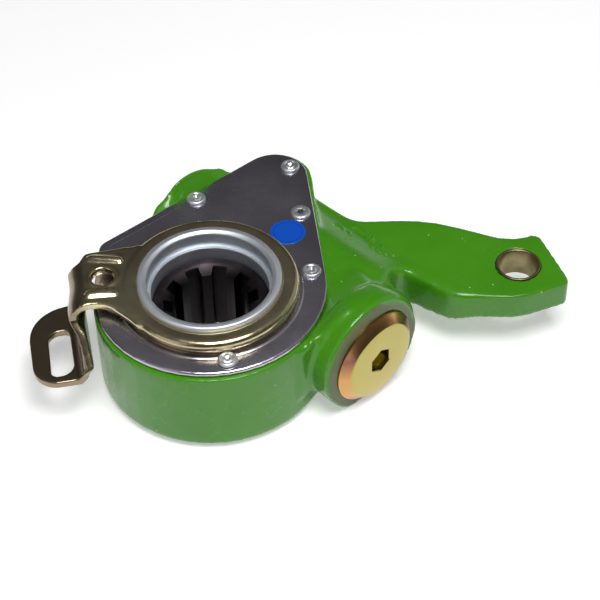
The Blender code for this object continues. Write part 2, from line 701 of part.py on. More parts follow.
def make_cap():
    edge = 0.5 * MM
    low = CAP_FACE - CAP_DEPTH
    face = CAP_FACE + CAP_PROUD
    flange = CAP_FACE + SEAT
    groove_high = CAP_FACE - CAP_GROOVE_AT
    groove_low = groove_high - CAP_GROOVE_WIDTH
    groove_floor = CAP_SHANK - CAP_GROOVE
    profile = [
        (0, face), (CAP_FACE_RADIUS, face), (CAP_RADIUS - edge, flange + edge), (CAP_RADIUS, flange + edge / 2),
        (CAP_RADIUS, flange), (CAP_SHANK, flange), (CAP_SHANK, groove_high), (groove_floor, groove_high),
        (groove_floor, groove_low), (CAP_SHANK, groove_low), (CAP_SHANK, low + edge),
        (CAP_SHANK - edge, low), (0, low),
    ]
    cap = turned("spring_cap", profile, yellow_zinc, parent=worm_axis, steps=48)
    key = slab("cap_key", [hexagon(KEY_FLATS)], face - KEY_DEPTH, face + PAST, parent=worm_axis)
    boolean(cap, key)
    pipe("cap_seal", groove_floor + SEAT, CAP_SHANK, groove_low + SEAT, groove_high - SEAT, rubber_black,
         parent=worm_axis, steps=48)


# Control unit

def make_disc():
    top = BODY_HEIGHT - 3 * SEAT
    low = DISC_FLOOR + 3 * SEAT
    edge = 0.8 * MM
    profile = [
        (SLEEVE_BORE + edge, SLEEVE_TOP), (SLEEVE_RADIUS - edge, SLEEVE_TOP),
        (SLEEVE_RADIUS, SLEEVE_TOP - edge), (SLEEVE_RADIUS, top), (DISC_RADIUS - edge, top),
        (DISC_RADIUS, top - edge), (DISC_RADIUS, low + edge), (DISC_RADIUS - edge, low),
        (HUB_RADIUS + RUNNING, low), (HUB_RADIUS + RUNNING, SLEEVE_LIP - edge),
        (SLEEVE_BORE, SLEEVE_LIP), (SLEEVE_BORE, SLEEVE_TOP - edge),
    ]
    turned("control_disc", profile, zinc, parent=control_axis, closed=True)
    pipe("arm_washer", SLEEVE_RADIUS + PRESS, WASHER_RADIUS, WASHER_LOW, WASHER_LOW + WASHER_THICKNESS,
         yellow_zinc, parent=control_axis, edge=0.4 * MM, steps=48)


def lug_outline():
    """The ring's lug in plan, counter-clockwise from inside the ring."""
    ring = -RING_RADIUS
    bend = -BODY_RADIUS
    return rounded([
        (ring + 9.6 * MM, 18.0 * MM, 0),
        (ring + 10.1 * MM, 25.4 * MM, 3 * MM),
        (bend + 0.3 * MM, 25.2 * MM, 5 * MM),
        (bend - 5.2 * MM, 20.6 * MM, 3 * MM),
        (bend - 15.7 * MM, 19.0 * MM, 0),
        (bend - 15.7 * MM, -5.0 * MM, 0),
        (bend - 7.2 * MM, -4.6 * MM, 2 * MM),
        (ring - 7.4 * MM, -2.6 * MM, 12 * MM),
        (ring + 6.1 * MM, -20.0 * MM, 6 * MM),
        (ring + 11.6 * MM, -14.0 * MM, 0),
    ])


def foot_outline():
    bend = -BODY_RADIUS
    return rounded([
        (bend - 26.8 * MM, -20.4 * MM, 10 * MM),
        (bend - 3.8 * MM, -20.4 * MM, 8 * MM),
        (bend + 0.8 * MM, -8.0 * MM, 0),
        (bend + 0.8 * MM, 14.0 * MM, 0),
        (bend - 5.2 * MM, 21.5 * MM, 4 * MM),
        (bend - 26.8 * MM, 20.0 * MM, 17 * MM),
    ])


def slot_outline():
    bend = -BODY_RADIUS
    return rounded([
        (bend - 19.8 * MM, -16.6 * MM, 2.5 * MM),
        (bend - 10.6 * MM, -16.6 * MM, 5.5 * MM),
        (bend - 10.6 * MM, 7.4 * MM, 2.0 * MM),
        (bend - 19.2 * MM, 7.4 * MM, 5.0 * MM),
    ])


def strap_section():
    """The bent sheet from the side: lug, bend, strap and foot, in x and z."""
    top = RING_TOP - LUG_SINK
    inside = -RING_RADIUS + 1.6 * MM
    outer_bend = -BODY_RADIUS - 11.4 * MM
    inner_bend = -BODY_RADIUS - 7.4 * MM
    lower_bend = -BODY_RADIUS - 4.2 * MM
    foot_end = -BODY_RADIUS - 34 * MM
    return rounded([
        (inside, top, 0),
        (outer_bend, top, 8.0 * MM),
        (lower_bend - STRAP_SHEET - 0.4 * MM, FOOT_TOP, 2.0 * MM),
        (foot_end, FOOT_TOP, 0),
        (foot_end, FOOT_TOP - STRAP_SHEET, 0),
        (lower_bend, FOOT_TOP - STRAP_SHEET, 5.0 * MM),
        (inner_bend, top - STRAP_SHEET, 4.2 * MM),
        (inside, top - STRAP_SHEET, 0),
    ])


def strap_taper():
    """How wide the bent sheet is at each height, in y and z."""
    above = RING_TOP + PAST
    below = FOOT_TOP - STRAP_SHEET - PAST
    far_edge = 21.5 * MM
    near_edge = -20.6 * MM
    return [
        (-5.0 * MM, above), (24.0 * MM, above), (24.0 * MM, RING_TOP - 6 * MM),
        (far_edge, FOOT_TOP + 4.4 * MM), (far_edge, below), (near_edge, below),
        (near_edge, FOOT_TOP + 2.4 * MM), (-5.0 * MM, RING_TOP - 7 * MM),
    ]


def make_arm():
    high = RING_TOP + PAST
    rounding = arc((RING_RADIUS - RING_ROUND, RING_TOP - RING_ROUND), RING_ROUND, math.pi / 2, 0)
    inner = SLEEVE_RADIUS + PRESS
    profile = [(inner, RING_TOP), *rounding, (RING_RADIUS, RING_LOW), (inner, RING_LOW)]
    arm = turned("control_arm", profile, yellow_zinc, parent=control_axis, closed=True)

    lug = slab("lug", [lug_outline()], RING_LOW - ARM_SHEET, high)
    foot = slab("foot", [foot_outline()], FOOT_TOP - STRAP_SHEET - PAST, RING_LOW - ARM_SHEET / 2)
    taper = slab("strap_taper", [strap_taper()], -2 * BODY_RADIUS, -BODY_RADIUS + 6.8 * MM)
    taper.matrix_world = Matrix(((0, 0, 1, 0), (1, 0, 0, 0), (0, 1, 0, 0), (0, 0, 0, 1)))
    boolean(foot, taper, "INTERSECT")
    boolean(lug, foot, "UNION")

    sheet = slab("bent_sheet", [strap_section()], -BODY_RADIUS, BODY_RADIUS)
    sheet.rotation_euler = (math.radians(90), 0, 0)
    boolean(sheet, lug, "INTERSECT")
    ring_space = drum("ring_space", SLEEVE_RADIUS + RING_OVERLAP, FOOT_TOP, high)
    boolean(sheet, ring_space)
    boolean(arm, sheet, "UNION")

    relief = RING_TOP - LUG_SINK + LUG_RELIEF
    hole_x, hole_y = LUG_HOLE_AT
    ribs = {
        "far_rib": ((hole_x + 7.2 * MM, hole_y + 9.2 * MM), (hole_x - 2.0 * MM, hole_y + 11.4 * MM)),
        "near_rib": ((hole_x + 1.6 * MM, hole_y - 8.4 * MM), (hole_x - 5.8 * MM, hole_y - 7.8 * MM)),
    }
    for name, ((x1, y1), (x2, y2)) in ribs.items():
        outline = around([(x1, y1, RIB_RADIUS), (x2, y2, RIB_RADIUS)])
        boolean(arm, slab(name, [outline], RING_LOW + 1 * MM, relief), "UNION")
    collar = drum("lug_collar", LUG_HOLE + LUG_COLLAR, RING_LOW + 1 * MM, relief, steps=32)
    collar.location = (*LUG_HOLE_AT, 0)
    boolean(arm, collar, "UNION")

    slot = slab("slot", [slot_outline()], FOOT_TOP - STRAP_SHEET - PAST, FOOT_TOP + PAST)
    boolean(arm, slot)
    hole(arm, "lug_hole", LUG_HOLE, RING_LOW - PAST, high, place=LUG_HOLE_AT, steps=32)


# Assembly

clear_scene()
parts = new_collection("brake_slack_adjuster")
cutters = new_collection("cutters", hidden=True)

cast_green = finish("cast_green_paint", (0.07, 0.27, 0.02), 0.35, 0.0)
zinc = finish("zinc_plate", (0.55, 0.57, 0.60), 0.25, 1.0)
zinc_bright = finish("bright_zinc", (0.72, 0.73, 0.75), 0.2, 1.0)
yellow_zinc = finish("yellow_zinc", (0.62, 0.50, 0.24), 0.28, 1.0)
bush_bronze = finish("bush_bronze", (0.62, 0.52, 0.38), 0.35, 1.0)
wheel_steel = finish("wheel_steel", (0.20, 0.18, 0.18), 0.45, 1.0)
worm_steel = finish("worm_steel", (0.42, 0.41, 0.40), 0.3, 1.0)
bearing_steel = finish("bearing_steel", (0.5, 0.5, 0.5), 0.25, 1.0)
spring_steel = finish("spring_steel", (0.35, 0.34, 0.33), 0.35, 1.0)
gasket_black = finish("gasket_paper", (0.03, 0.03, 0.03), 0.8, 0.0)
rubber_black = finish("seal_rubber", (0.02, 0.02, 0.02), 0.6, 0.0)

# Local +Z of the worm axis points out through the cap, and its +Y is up.
out = Vector((math.sin(WORM_TURN), -math.cos(WORM_TURN), 0))
side = Vector((math.cos(WORM_TURN), math.sin(WORM_TURN), 0))
up = Vector((0, 0, 1))
place = side * AXIS_DISTANCE + up * WORM_HEIGHT
across_worm = Matrix.Rotation(WORM_TURN, 4, "Z")
worm_frame = Matrix((
    (side.x, up.x, out.x, place.x),
    (side.y, up.y, out.y, place.y),
    (side.z, up.z, out.z, place.z),
    (0, 0, 0, 1),
))


def axis_empty(name, matrix):
    empty = bpy.data.objects.new(name, None)
    parts.objects.link(empty)
    empty.matrix_world = matrix
    return empty


worm_axis = axis_empty("worm_axis", worm_frame)
worm_spin = axis_empty("worm_spin", worm_frame)
wheel_axis = axis_empty("wheel_axis", Matrix.Identity(4))
control_axis = axis_empty("control_axis", Matrix.Identity(4))

make_housing()
make_body_seals()
make_cover()
make_screws()
make_bush()
make_wheel()
make_worm()
make_spring_pack()
make_cap()
make_disc()
make_arm()
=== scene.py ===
"""Looks of the brake slack adjuster: finishes, rounded castings and pressings, studio and camera.

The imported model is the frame: X runs along the lever to the clevis eye, Z is the camshaft axis and
points to the cover side. All sizes are in metres and written as millimetres times MM, apart from
the tables that in_mm, rise and the marks read, which are in millimetres.
"""

import logging
import math
from collections.abc import Callable, Sequence
from dataclasses import dataclass
from enum import Enum

import bmesh
import bpy
from mathutils import Euler, Matrix, Vector

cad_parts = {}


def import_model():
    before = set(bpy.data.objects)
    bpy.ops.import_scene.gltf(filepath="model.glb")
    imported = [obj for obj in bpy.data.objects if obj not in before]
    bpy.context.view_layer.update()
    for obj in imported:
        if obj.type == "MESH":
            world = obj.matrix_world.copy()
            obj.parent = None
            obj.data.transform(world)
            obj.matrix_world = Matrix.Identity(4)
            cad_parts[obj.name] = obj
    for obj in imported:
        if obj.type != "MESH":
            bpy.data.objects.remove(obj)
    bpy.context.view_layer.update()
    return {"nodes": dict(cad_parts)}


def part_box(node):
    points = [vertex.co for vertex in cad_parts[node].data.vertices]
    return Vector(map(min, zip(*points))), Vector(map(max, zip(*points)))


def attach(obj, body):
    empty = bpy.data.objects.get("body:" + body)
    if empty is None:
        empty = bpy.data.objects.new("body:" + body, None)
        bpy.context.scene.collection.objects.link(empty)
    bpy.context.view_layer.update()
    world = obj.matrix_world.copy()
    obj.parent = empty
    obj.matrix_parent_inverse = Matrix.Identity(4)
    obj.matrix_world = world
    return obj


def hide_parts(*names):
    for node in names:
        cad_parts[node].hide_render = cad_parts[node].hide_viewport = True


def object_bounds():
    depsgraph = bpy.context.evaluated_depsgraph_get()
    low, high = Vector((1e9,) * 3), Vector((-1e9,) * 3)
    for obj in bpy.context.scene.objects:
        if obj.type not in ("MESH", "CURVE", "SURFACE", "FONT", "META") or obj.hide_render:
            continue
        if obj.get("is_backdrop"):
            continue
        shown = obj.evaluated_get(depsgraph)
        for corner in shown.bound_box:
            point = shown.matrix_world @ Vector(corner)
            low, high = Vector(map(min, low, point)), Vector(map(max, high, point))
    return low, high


MM = 0.001
HERE = Matrix()

log = logging.getLogger("slack_adjuster")

Point = tuple[float, float]
Colour = tuple[float, float, float]
RadiusAt = Callable[[float], float]
Ring = tuple[RadiusAt | float, RadiusAt | float]
Socket = bpy.types.NodeSocket
Material = bpy.types.Material
Shape = bmesh.types.BMesh


class Body(Enum):
    """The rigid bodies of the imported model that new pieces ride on."""

    HOUSING = "body"
    CONTROL = "control"


class Slot(Enum):
    """The record's material slots, handed to the workshop with new pieces but not used there."""

    GREEN = "cast_green"
    ZINC = "zinc"
    YELLOW = "yellow_zinc"
    BRONZE = "bronze"
    GASKET = "gasket"


# Finishes


class NodeBench:
    """A small helper that lays out the nodes of one Principled material."""

    def __init__(self, name: str, **constants: float | Colour) -> None:
        """Start a material.

        Args:
            name: The material's name.
            constants: The inputs that set gives.
        """
        self.material = bpy.data.materials.new(name)
        self.material.use_nodes = True
        self.nodes = self.material.node_tree.nodes
        self.links = self.material.node_tree.links
        self.shader = self.nodes["Principled BSDF"]
        self.place = self.nodes.new("ShaderNodeTexCoord").outputs["Object"]
        self.set(**constants)

    def set(self, **values: float | Colour) -> None:
        """Set constant inputs of the shader, with underscores for spaces in their names."""
        for key, value in values.items():
            socket = self.shader.inputs[key.replace("_", " ")]
            socket.default_value = (*value, 1.0) if isinstance(value, tuple) else value

    def mapped(self, origin: Vector, turn: Euler | None = None) -> Socket:
        """Object coordinates moved so that a point of the frame becomes their origin.

        Args:
            origin: The point, in the frame.
            turn: The turn of the new axes, if any.

        Returns:
            The vector socket.
        """
        mapping = self.nodes.new("ShaderNodeMapping")
        mapping.vector_type = "POINT"
        mapping.inputs["Rotation"].default_value = turn or Euler((0, 0, 0))
        self.links.new(self.vector("SUBTRACT", self.place, origin), mapping.inputs["Vector"])
        return mapping.outputs["Vector"]

    def vector(self, operation: str, first: Socket, second: Vector | None = None) -> Socket:
        """One Vector Math node, with a number as its result where the operation gives one."""
        node = self.nodes.new("ShaderNodeVectorMath")
        node.operation = operation
        self.links.new(first, node.inputs[0])
        if second is not None:
            node.inputs[1].default_value = second
        return node.outputs["Vector" if operation == "SUBTRACT" else "Value"]

    def split(self, vector: Socket) -> bpy.types.NodeOutputs:
        """The X, Y and Z of a vector."""
        node = self.nodes.new("ShaderNodeSeparateXYZ")
        self.links.new(vector, node.inputs[0])
        return node.outputs

    def noise(self, scale: float, detail: float = 3.0, at: Socket | None = None,
              roughness: float = 0.5) -> Socket:
        """Noise of so many features to the metre, from 0 to 1."""
        node = self.nodes.new("ShaderNodeTexNoise")
        node.inputs["Scale"].default_value = scale
        node.inputs["Detail"].default_value = detail
        node.inputs["Roughness"].default_value = roughness
        self.links.new(at or self.place, node.inputs["Vector"])
        return node.outputs["Fac"]

    def ramp(self, value: Socket, stops: Sequence[tuple[float, Colour]]) -> Socket:
        """A colour ramp over a value.

        Args:
            value: The socket that drives the ramp.
            stops: Position and colour pairs, in order.

        Returns:
            The colour socket.
        """
        node = self.nodes.new("ShaderNodeValToRGB")
        elements = node.color_ramp.elements
        while len(elements) < len(stops):
            elements.new(1.0)
        for element, (position, colour) in zip(elements, stops):
            element.position = position
            element.color = (*colour, 1.0)
        self.links.new(value, node.inputs["Fac"])
        return node.outputs["Color"]

    def fit(self, value: Socket, low: float, high: float, to_low: float = 0.0,
            to_high: float = 1.0) -> Socket:
        """A value moved from one range to another, clamped."""
        node = self.nodes.new("ShaderNodeMapRange")
        node.inputs["From Min"].default_value = low
        node.inputs["From Max"].default_value = high
        node.inputs["To Min"].default_value = to_low
        node.inputs["To Max"].default_value = to_high
        self.links.new(value, node.inputs["Value"])
        return node.outputs["Result"]

    def math(self, operation: str, first: Socket, second: Socket | float = 0.0) -> Socket:
        """One Math node."""
        node = self.nodes.new("ShaderNodeMath")
        node.operation = operation
        self.links.new(first, node.inputs[0])
        if isinstance(second, (int, float)):
            node.inputs[1].default_value = second
        else:
            self.links.new(second, node.inputs[1])
        return node.outputs[0]

    def mix(self, factor: Socket, first: Socket | Colour, second: Socket | Colour) -> Socket:
        """A blend of two colours by a factor."""
        node = self.nodes.new("ShaderNodeMix")
        node.data_type = "RGBA"
        self.links.new(factor, node.inputs["Factor"])
        for name, colour in (("A", first), ("B", second)):
            # The node has an input of this name for each type of data.
            socket = next(s for s in node.inputs if s.name == name and s.type == "RGBA")
            if isinstance(colour, tuple):
                socket.default_value = (*colour, 1.0)
            else:
                self.links.new(colour, socket)
        return node.outputs["Result"]

    def colour(self, value: Socket) -> None:
        """Drive the base colour."""
        self.links.new(value, self.shader.inputs["Base Color"])

    def rough(self, value: Socket) -> None:
        """Drive the roughness."""
        self.links.new(value, self.shader.inputs["Roughness"])

    def bump(self, height: Socket, distance: float, strength: float = 1.0) -> None:
        """Add a bump on top of those already there.

        Args:
            height: The height socket, from 0 to 1.
            distance: The height in metres of a value of 1.
            strength: How much of it shows.
        """
        node = self.nodes.new("ShaderNodeBump")
        node.inputs["Distance"].default_value = distance
        node.inputs["Strength"].default_value = strength
        self.links.new(height, node.inputs["Height"])
        below = self.shader.inputs["Normal"].links
        if below:
            self.links.new(below[0].from_socket, node.inputs["Normal"])
        self.links.new(node.outputs["Normal"], self.shader.inputs["Normal"])


@dataclass(frozen=True)
class Enamel:
    """Glossy sprayed enamel over a rough casting, with dust specks, and greyer and rougher on the machined
    boss face: partly thin paint, partly a painted reflection of the floor.
    """

    axis: "WormAxis"
    face_at: float = 57.5 * MM
    face_radius: float = 28.5 * MM
    name: str = "green_enamel"
    # Boss face colour: partly thin paint on the machined face, partly a painted reflection of the floor.
    face_and_painted_sheen: Colour = (0.10, 0.13, 0.035)
    base: Colour = (0.060, 0.285, 0.006)
    thin: Colour = (0.066, 0.30, 0.008)
    deep: Colour = (0.053, 0.265, 0.005)
    speck: Colour = (0.62, 0.80, 0.5)

    def build(self) -> Material:
        """Make the material."""
        bench = NodeBench(self.name, Metallic=0.0, Coat_Weight=0.25, Coat_Roughness=0.1, IOR=1.45)
        cloud = bench.noise(45.0, 3.0)
        colour = bench.ramp(cloud, [(0.3, self.deep), (0.5, self.base), (0.72, self.thin)])
        cells = bench.nodes.new("ShaderNodeTexVoronoi")
        cells.inputs["Scale"].default_value = 210.0
        bench.links.new(bench.place, cells.inputs["Vector"])
        dot = bench.fit(cells.outputs["Distance"], 0.055, 0.07, 1.0, 0.0)
        chance = bench.nodes.new("ShaderNodeSeparateColor")
        bench.links.new(cells.outputs["Color"], chance.inputs["Color"])
        rare = bench.math("GREATER_THAN", chance.outputs["Red"], 0.72)
        speck = bench.math("MULTIPLY", dot, rare)
        middle = self.axis.matrix.translation
        along = bench.vector("DOT_PRODUCT", bench.place, self.axis.out)
        reach = bench.math("SUBTRACT", along, middle.dot(self.axis.out))
        from_face = bench.vector("DISTANCE", bench.place, middle + self.axis.out * self.face_at)
        # Greyer and rougher on the boss face: partly thin paint on the machined face, partly a painted
        # reflection of the floor.
        face_and_painted_sheen = bench.fit(reach, self.face_at - 0.35 * MM, self.face_at - 0.1 * MM)
        face_and_painted_sheen = bench.math("MULTIPLY", face_and_painted_sheen, bench.math("LESS_THAN", from_face, self.face_radius))
        colour = bench.mix(face_and_painted_sheen, colour, self.face_and_painted_sheen)
        bench.colour(bench.mix(speck, colour, self.speck))
        gloss = bench.fit(bench.noise(90.0, 2.0), 0.3, 0.7, 0.2, 0.3)
        bench.rough(bench.math("MAXIMUM", gloss, bench.math("MULTIPLY", face_and_painted_sheen, 0.5)))
        bench.bump(bench.noise(330.0, 2.0), 0.0001, 0.5)
        bench.bump(bench.noise(70.0, 1.0), 0.0006, 0.3)
        bench.bump(speck, 0.0002, 0.6)
        return bench.material


@dataclass(frozen=True)
class ZincPlate:
    """Plated sheet or turned steel, from dark to bright, with fine handling marks."""

    name: str
    dark: Colour
    light: Colour
    low_rough: float
    high_rough: float
    scratches: float
    patch: float = 26.0

    def build(self) -> Material:
        """Make the material."""
        bench = NodeBench(self.name, Metallic=1.0)
        cloud = bench.noise(self.patch, 4.0, roughness=0.55)
        bench.colour(bench.ramp(cloud, [(0.32, self.dark), (0.68, self.light)]))
        stretched = bench.nodes.new("ShaderNodeMapping")
        stretched.inputs["Scale"].default_value = (1.0, 14.0, 1.0)
        stretched.inputs["Rotation"].default_value = (0, 0, math.radians(31))
        bench.links.new(bench.place, stretched.inputs["Vector"])
        scratch = bench.noise(260.0, 4.0, stretched.outputs["Vector"], 0.65)
        smear = bench.math("ADD", bench.math("MULTIPLY", cloud, 0.6), bench.math("MULTIPLY", scratch, 0.4))
        bench.rough(bench.fit(smear, 0.35, 0.65, self.low_rough, self.high_rough))
        bench.bump(scratch, 0.00002, self.scratches)
        return bench.material


@dataclass(frozen=True)
class YellowZinc:
    """Yellow passivated zinc: gold with olive and brown patches, and painted shade, a darker brown, on the
    outer bend and the strap.
    """

    name: str
    gold: Colour = (0.70, 0.63, 0.40)
    olive: Colour = (0.62, 0.54, 0.33)
    brown: Colour = (0.52, 0.43, 0.28)
    # Painted shade: the darker brown laid on the outer bend and the strap.
    tint_and_painted_reflection: Colour = (0.30, 0.235, 0.16)
    rough: float = 0.2
    patch: float = 26.0

    def build(self) -> Material:
        """Make the material."""
        bench = NodeBench(self.name, Metallic=1.0)
        cloud = bench.noise(self.patch, 3.0, roughness=0.5)
        tint = bench.ramp(cloud, [(0.33, self.brown), (0.47, self.olive), (0.6, self.gold)])
        # Painted shade: far out along -X the outer bend and the strap turn darker brown, a painted dark
        # reflection of the studio.
        strap = bench.fit(bench.split(bench.place)["X"], -46 * MM, -54 * MM)
        bench.colour(bench.mix(strap, tint, self.tint_and_painted_reflection))
        fine = bench.noise(240.0, 3.0)
        bench.rough(bench.fit(fine, 0.3, 0.7, self.rough - 0.04, self.rough + 0.06))
        bench.bump(fine, 0.00004, 0.2)
        return bench.material


@dataclass(frozen=True)
class CapGold:
    """Yellow zinc on turned steel, with fine turning rings and colour bands on the chamfer that run with
    height: painted reflection, orange that is partly the zinc's tint, and dark near the top.
    """

    matrix: Matrix
    face_radius: float
    name: str = "cap_gold"
    face: Colour = (0.46, 0.40, 0.125)
    worn: Colour = (0.42, 0.34, 0.115)
    tint_and_painted_reflection: Colour = (0.60, 0.33, 0.12)
    # Painted dark reflection near the top of the chamfer.
    shade: Colour = (0.26, 0.11, 0.08)

    def build(self) -> Material:
        """Make the material."""
        bench = NodeBench(self.name, Metallic=1.0)
        turn = self.matrix.to_3x3().transposed().to_euler()
        local = bench.mapped(self.matrix.translation, turn)
        parts = bench.split(local)
        flat = bench.nodes.new("ShaderNodeCombineXYZ")
        for name in "XY":
            bench.links.new(parts[name], flat.inputs[name])
        reach = bench.vector("LENGTH", flat.outputs["Vector"])
        cloud = bench.noise(30.0, 2.0)
        face = bench.ramp(cloud, [(0.35, self.worn), (0.6, self.face)])
        # Painted reflection: the chamfer's colour runs with height, orange low down and dark near the top, as
        # reflections of the studio; the orange is partly the zinc's own tint.
        rim = bench.ramp(bench.fit(parts["Y"], -12 * MM, 17 * MM),
                         [(0.0, self.tint_and_painted_reflection), (0.45, self.tint_and_painted_reflection), (0.75, self.shade), (1.0, self.tint_and_painted_reflection)])
        edge = bench.fit(reach, self.face_radius - 0.2 * MM, self.face_radius + 0.4 * MM)
        bench.colour(bench.mix(edge, face, rim))
        wave = bench.nodes.new("ShaderNodeTexNoise")
        wave.noise_dimensions = "1D"
        wave.inputs["Scale"].default_value = 1.0
        bench.links.new(bench.math("MULTIPLY", reach, 5200.0), wave.inputs["W"])
        bench.rough(bench.fit(cloud, 0.3, 0.7, 0.14, 0.24))
        bench.bump(wave.outputs["Fac"], 0.000012, 0.5)
        return bench.material


@dataclass(frozen=True)
class PlainSteel:
    """Machined or blackened steel with oil patches, and if asked, painted shade: near black below a given
    height, deep in the part's recess.
    """

    name: str
    dark: Colour
    light: Colour
    rough: float
    metallic: float = 1.0
    # Painted shade: below this height the colour turns near black, as shade deep in the recess round the
    # part.
    shaded_below: float = -1.0
    deep: Colour = (0.008, 0.006, 0.006)

    def build(self) -> Material:
        """Make the material."""
        bench = NodeBench(self.name, Metallic=self.metallic)
        cloud = bench.noise(140.0, 4.0)
        colour = bench.ramp(cloud, [(0.35, self.dark), (0.65, self.light)])
        # Painted shade: near black below a height, where the part lies deep in its recess.
        if self.shaded_below > 0:
            height = bench.split(bench.place)["Z"]
            recess_shade = bench.fit(height, self.shaded_below - 1.5 * MM, self.shaded_below, 1.0, 0.0)
            colour = bench.mix(recess_shade, colour, self.deep)
        bench.colour(colour)
        bench.rough(bench.fit(bench.noise(60.0, 2.0), 0.3, 0.7, self.rough - 0.08, self.rough + 0.1))
        bench.bump(bench.noise(1500.0, 2.0), 0.00003, 0.3)
        return bench.material


@dataclass(frozen=True)
class MattSheet:
    """Rubber or gasket paper."""

    name: str
    dark: Colour
    light: Colour
    rough: float

    def build(self) -> Material:
        """Make the material."""
        bench = NodeBench(self.name, Metallic=0.0)
        grain = bench.noise(1200.0, 3.0)
        bench.colour(bench.ramp(grain, [(0.35, self.dark), (0.65, self.light)]))
        bench.rough(bench.fit(grain, 0.3, 0.7, self.rough - 0.06, self.rough + 0.06))
        bench.bump(grain, 0.00004, 0.4)
        return bench.material


@dataclass(frozen=True)
class DotPaper:
    """The plain blue inspection dot: printed film with one faint ring."""

    centre: Vector
    radius: float
    name: str = "blue_dot_film"
    blue: Colour = (0.0012, 0.085, 0.56)
    ring: Colour = (0.001, 0.06, 0.40)

    def build(self) -> Material:
        """Make the material."""
        bench = NodeBench(self.name, Metallic=0.0, Roughness=0.32)
        reach = bench.math("DIVIDE", bench.vector("LENGTH", bench.mapped(self.centre)), self.radius)
        line = bench.math("ABSOLUTE", bench.math("SUBTRACT", reach, 0.8))
        ring = bench.fit(line, 0.015, 0.045, 1.0, 0.0)
        bench.colour(bench.mix(ring, self.blue, self.ring))
        bench.bump(bench.noise(500.0, 2.0), 0.00003, 0.3)
        return bench.material


# Outlines


def arc(centre: Point, radius: float, start: float, end: float, steps: int = 24) -> list[Point]:
    """Points along an arc."""
    turns = [start + (end - start) * i / steps for i in range(steps + 1)]
    return [(centre[0] + radius * math.cos(t), centre[1] + radius * math.sin(t)) for t in turns]


def belt(circles: Sequence[tuple[float, float, float]]) -> list[Point]:
    """The outline of a belt round circles.

    Args:
        circles: Centre x, centre y and radius of each, counter-clockwise.

    Returns:
        A closed outline, without a repeated point.
    """
    leave = []
    for i, (x, y, radius) in enumerate(circles):
        nx, ny, next_radius = circles[(i + 1) % len(circles)]
        heading = math.atan2(ny - y, nx - x)
        leave.append(heading - math.acos((radius - next_radius) / math.hypot(nx - x, ny - y)))
    points: list[Point] = []
    for i, (x, y, radius) in enumerate(circles):
        start = leave[i - 1]
        points += arc((x, y), radius, start, start + (leave[i] - start) % (2 * math.pi))
    return points


def polar(outline: Sequence[Point]) -> RadiusAt:
    """How far a closed outline round the origin is in each direction.

    Args:
        outline: The outline's points, counter-clockwise.

    Returns:
        A function from an angle to a radius.
    """
    def radius_at(turn: float) -> float:
        """Where the ray at this angle leaves the outline."""
        ray = Vector((math.cos(turn), math.sin(turn)))
        best = 0.0
        for i, (ax, ay) in enumerate(outline):
            bx, by = outline[(i + 1) % len(outline)]
            span = Vector((bx - ax, by - ay))
            across = ray.x * span.y - ray.y * span.x
            if abs(across) < 1e-12:
                continue
            reach = (ax * span.y - ay * span.x) / across
            along = (ax * ray.y - ay * ray.x) / across
            if reach > 0 and -1e-9 <= along <= 1 + 1e-9:
                best = max(best, reach)
        return best

    return radius_at


def polygon_radius(flats: float, sides: int, turn: float = 0.0) -> RadiusAt:
    """A regular polygon of so much across flats, as a radius in each direction."""
    half = math.pi / sides

    def radius_at(angle: float) -> float:
        """The flat's distance over the cosine of the angle from its middle."""
        return flats / 2 / math.cos((angle - turn) % (2 * half) - half)

    return radius_at


def lobed_radius(middle: float, wave: float, lobes: int = 6) -> RadiusAt:
    """A round socket with so many lobes."""
    return lambda angle: middle + wave * math.cos(lobes * angle)


# Mesh making


def finished(bm: Shape, matrix: Matrix) -> Shape:
    """The shape with outward normals, in its place in the frame."""
    bmesh.ops.recalc_face_normals(bm, faces=bm.faces)
    bm.transform(matrix)
    return bm


def ring_loft(rings: Sequence[Ring], steps: int,
              cap_last: bool = False, cap_first: bool = False, matrix: Matrix = HERE) -> Shape:
    """Rings of points round Z, each extruded from the last.

    Args:
        rings: Radius and height of each ring, as numbers or as functions of the angle.
        steps: Points in each ring.
        cap_last: Close the last ring with a face.
        cap_first: Close the first ring with a face.
        matrix: Where the piece goes in the frame.

    Returns:
        The new bmesh, with outward normals.
    """
    bm = bmesh.new()
    first = loop = list(bmesh.ops.create_circle(bm, cap_ends=False, segments=steps, radius=1.0)["verts"])
    edges = list(bm.edges)
    for index, (radius, height) in enumerate(rings):
        if index:
            grown = bmesh.ops.extrude_edge_only(bm, edges=edges)["geom"]
            loop = [g for g in grown if isinstance(g, bmesh.types.BMVert)]
            edges = [g for g in grown if isinstance(g, bmesh.types.BMEdge)]
        for vertex in loop:
            turn = math.atan2(vertex.co.y, vertex.co.x)
            out = radius(turn) if callable(radius) else radius
            high = height(turn) if callable(height) else height
            vertex.co = (out * math.cos(turn), out * math.sin(turn), high)
    if cap_last:
        bmesh.ops.contextual_create(bm, geom=loop)
    if cap_first:
        bmesh.ops.contextual_create(bm, geom=first)
    return finished(bm, matrix)


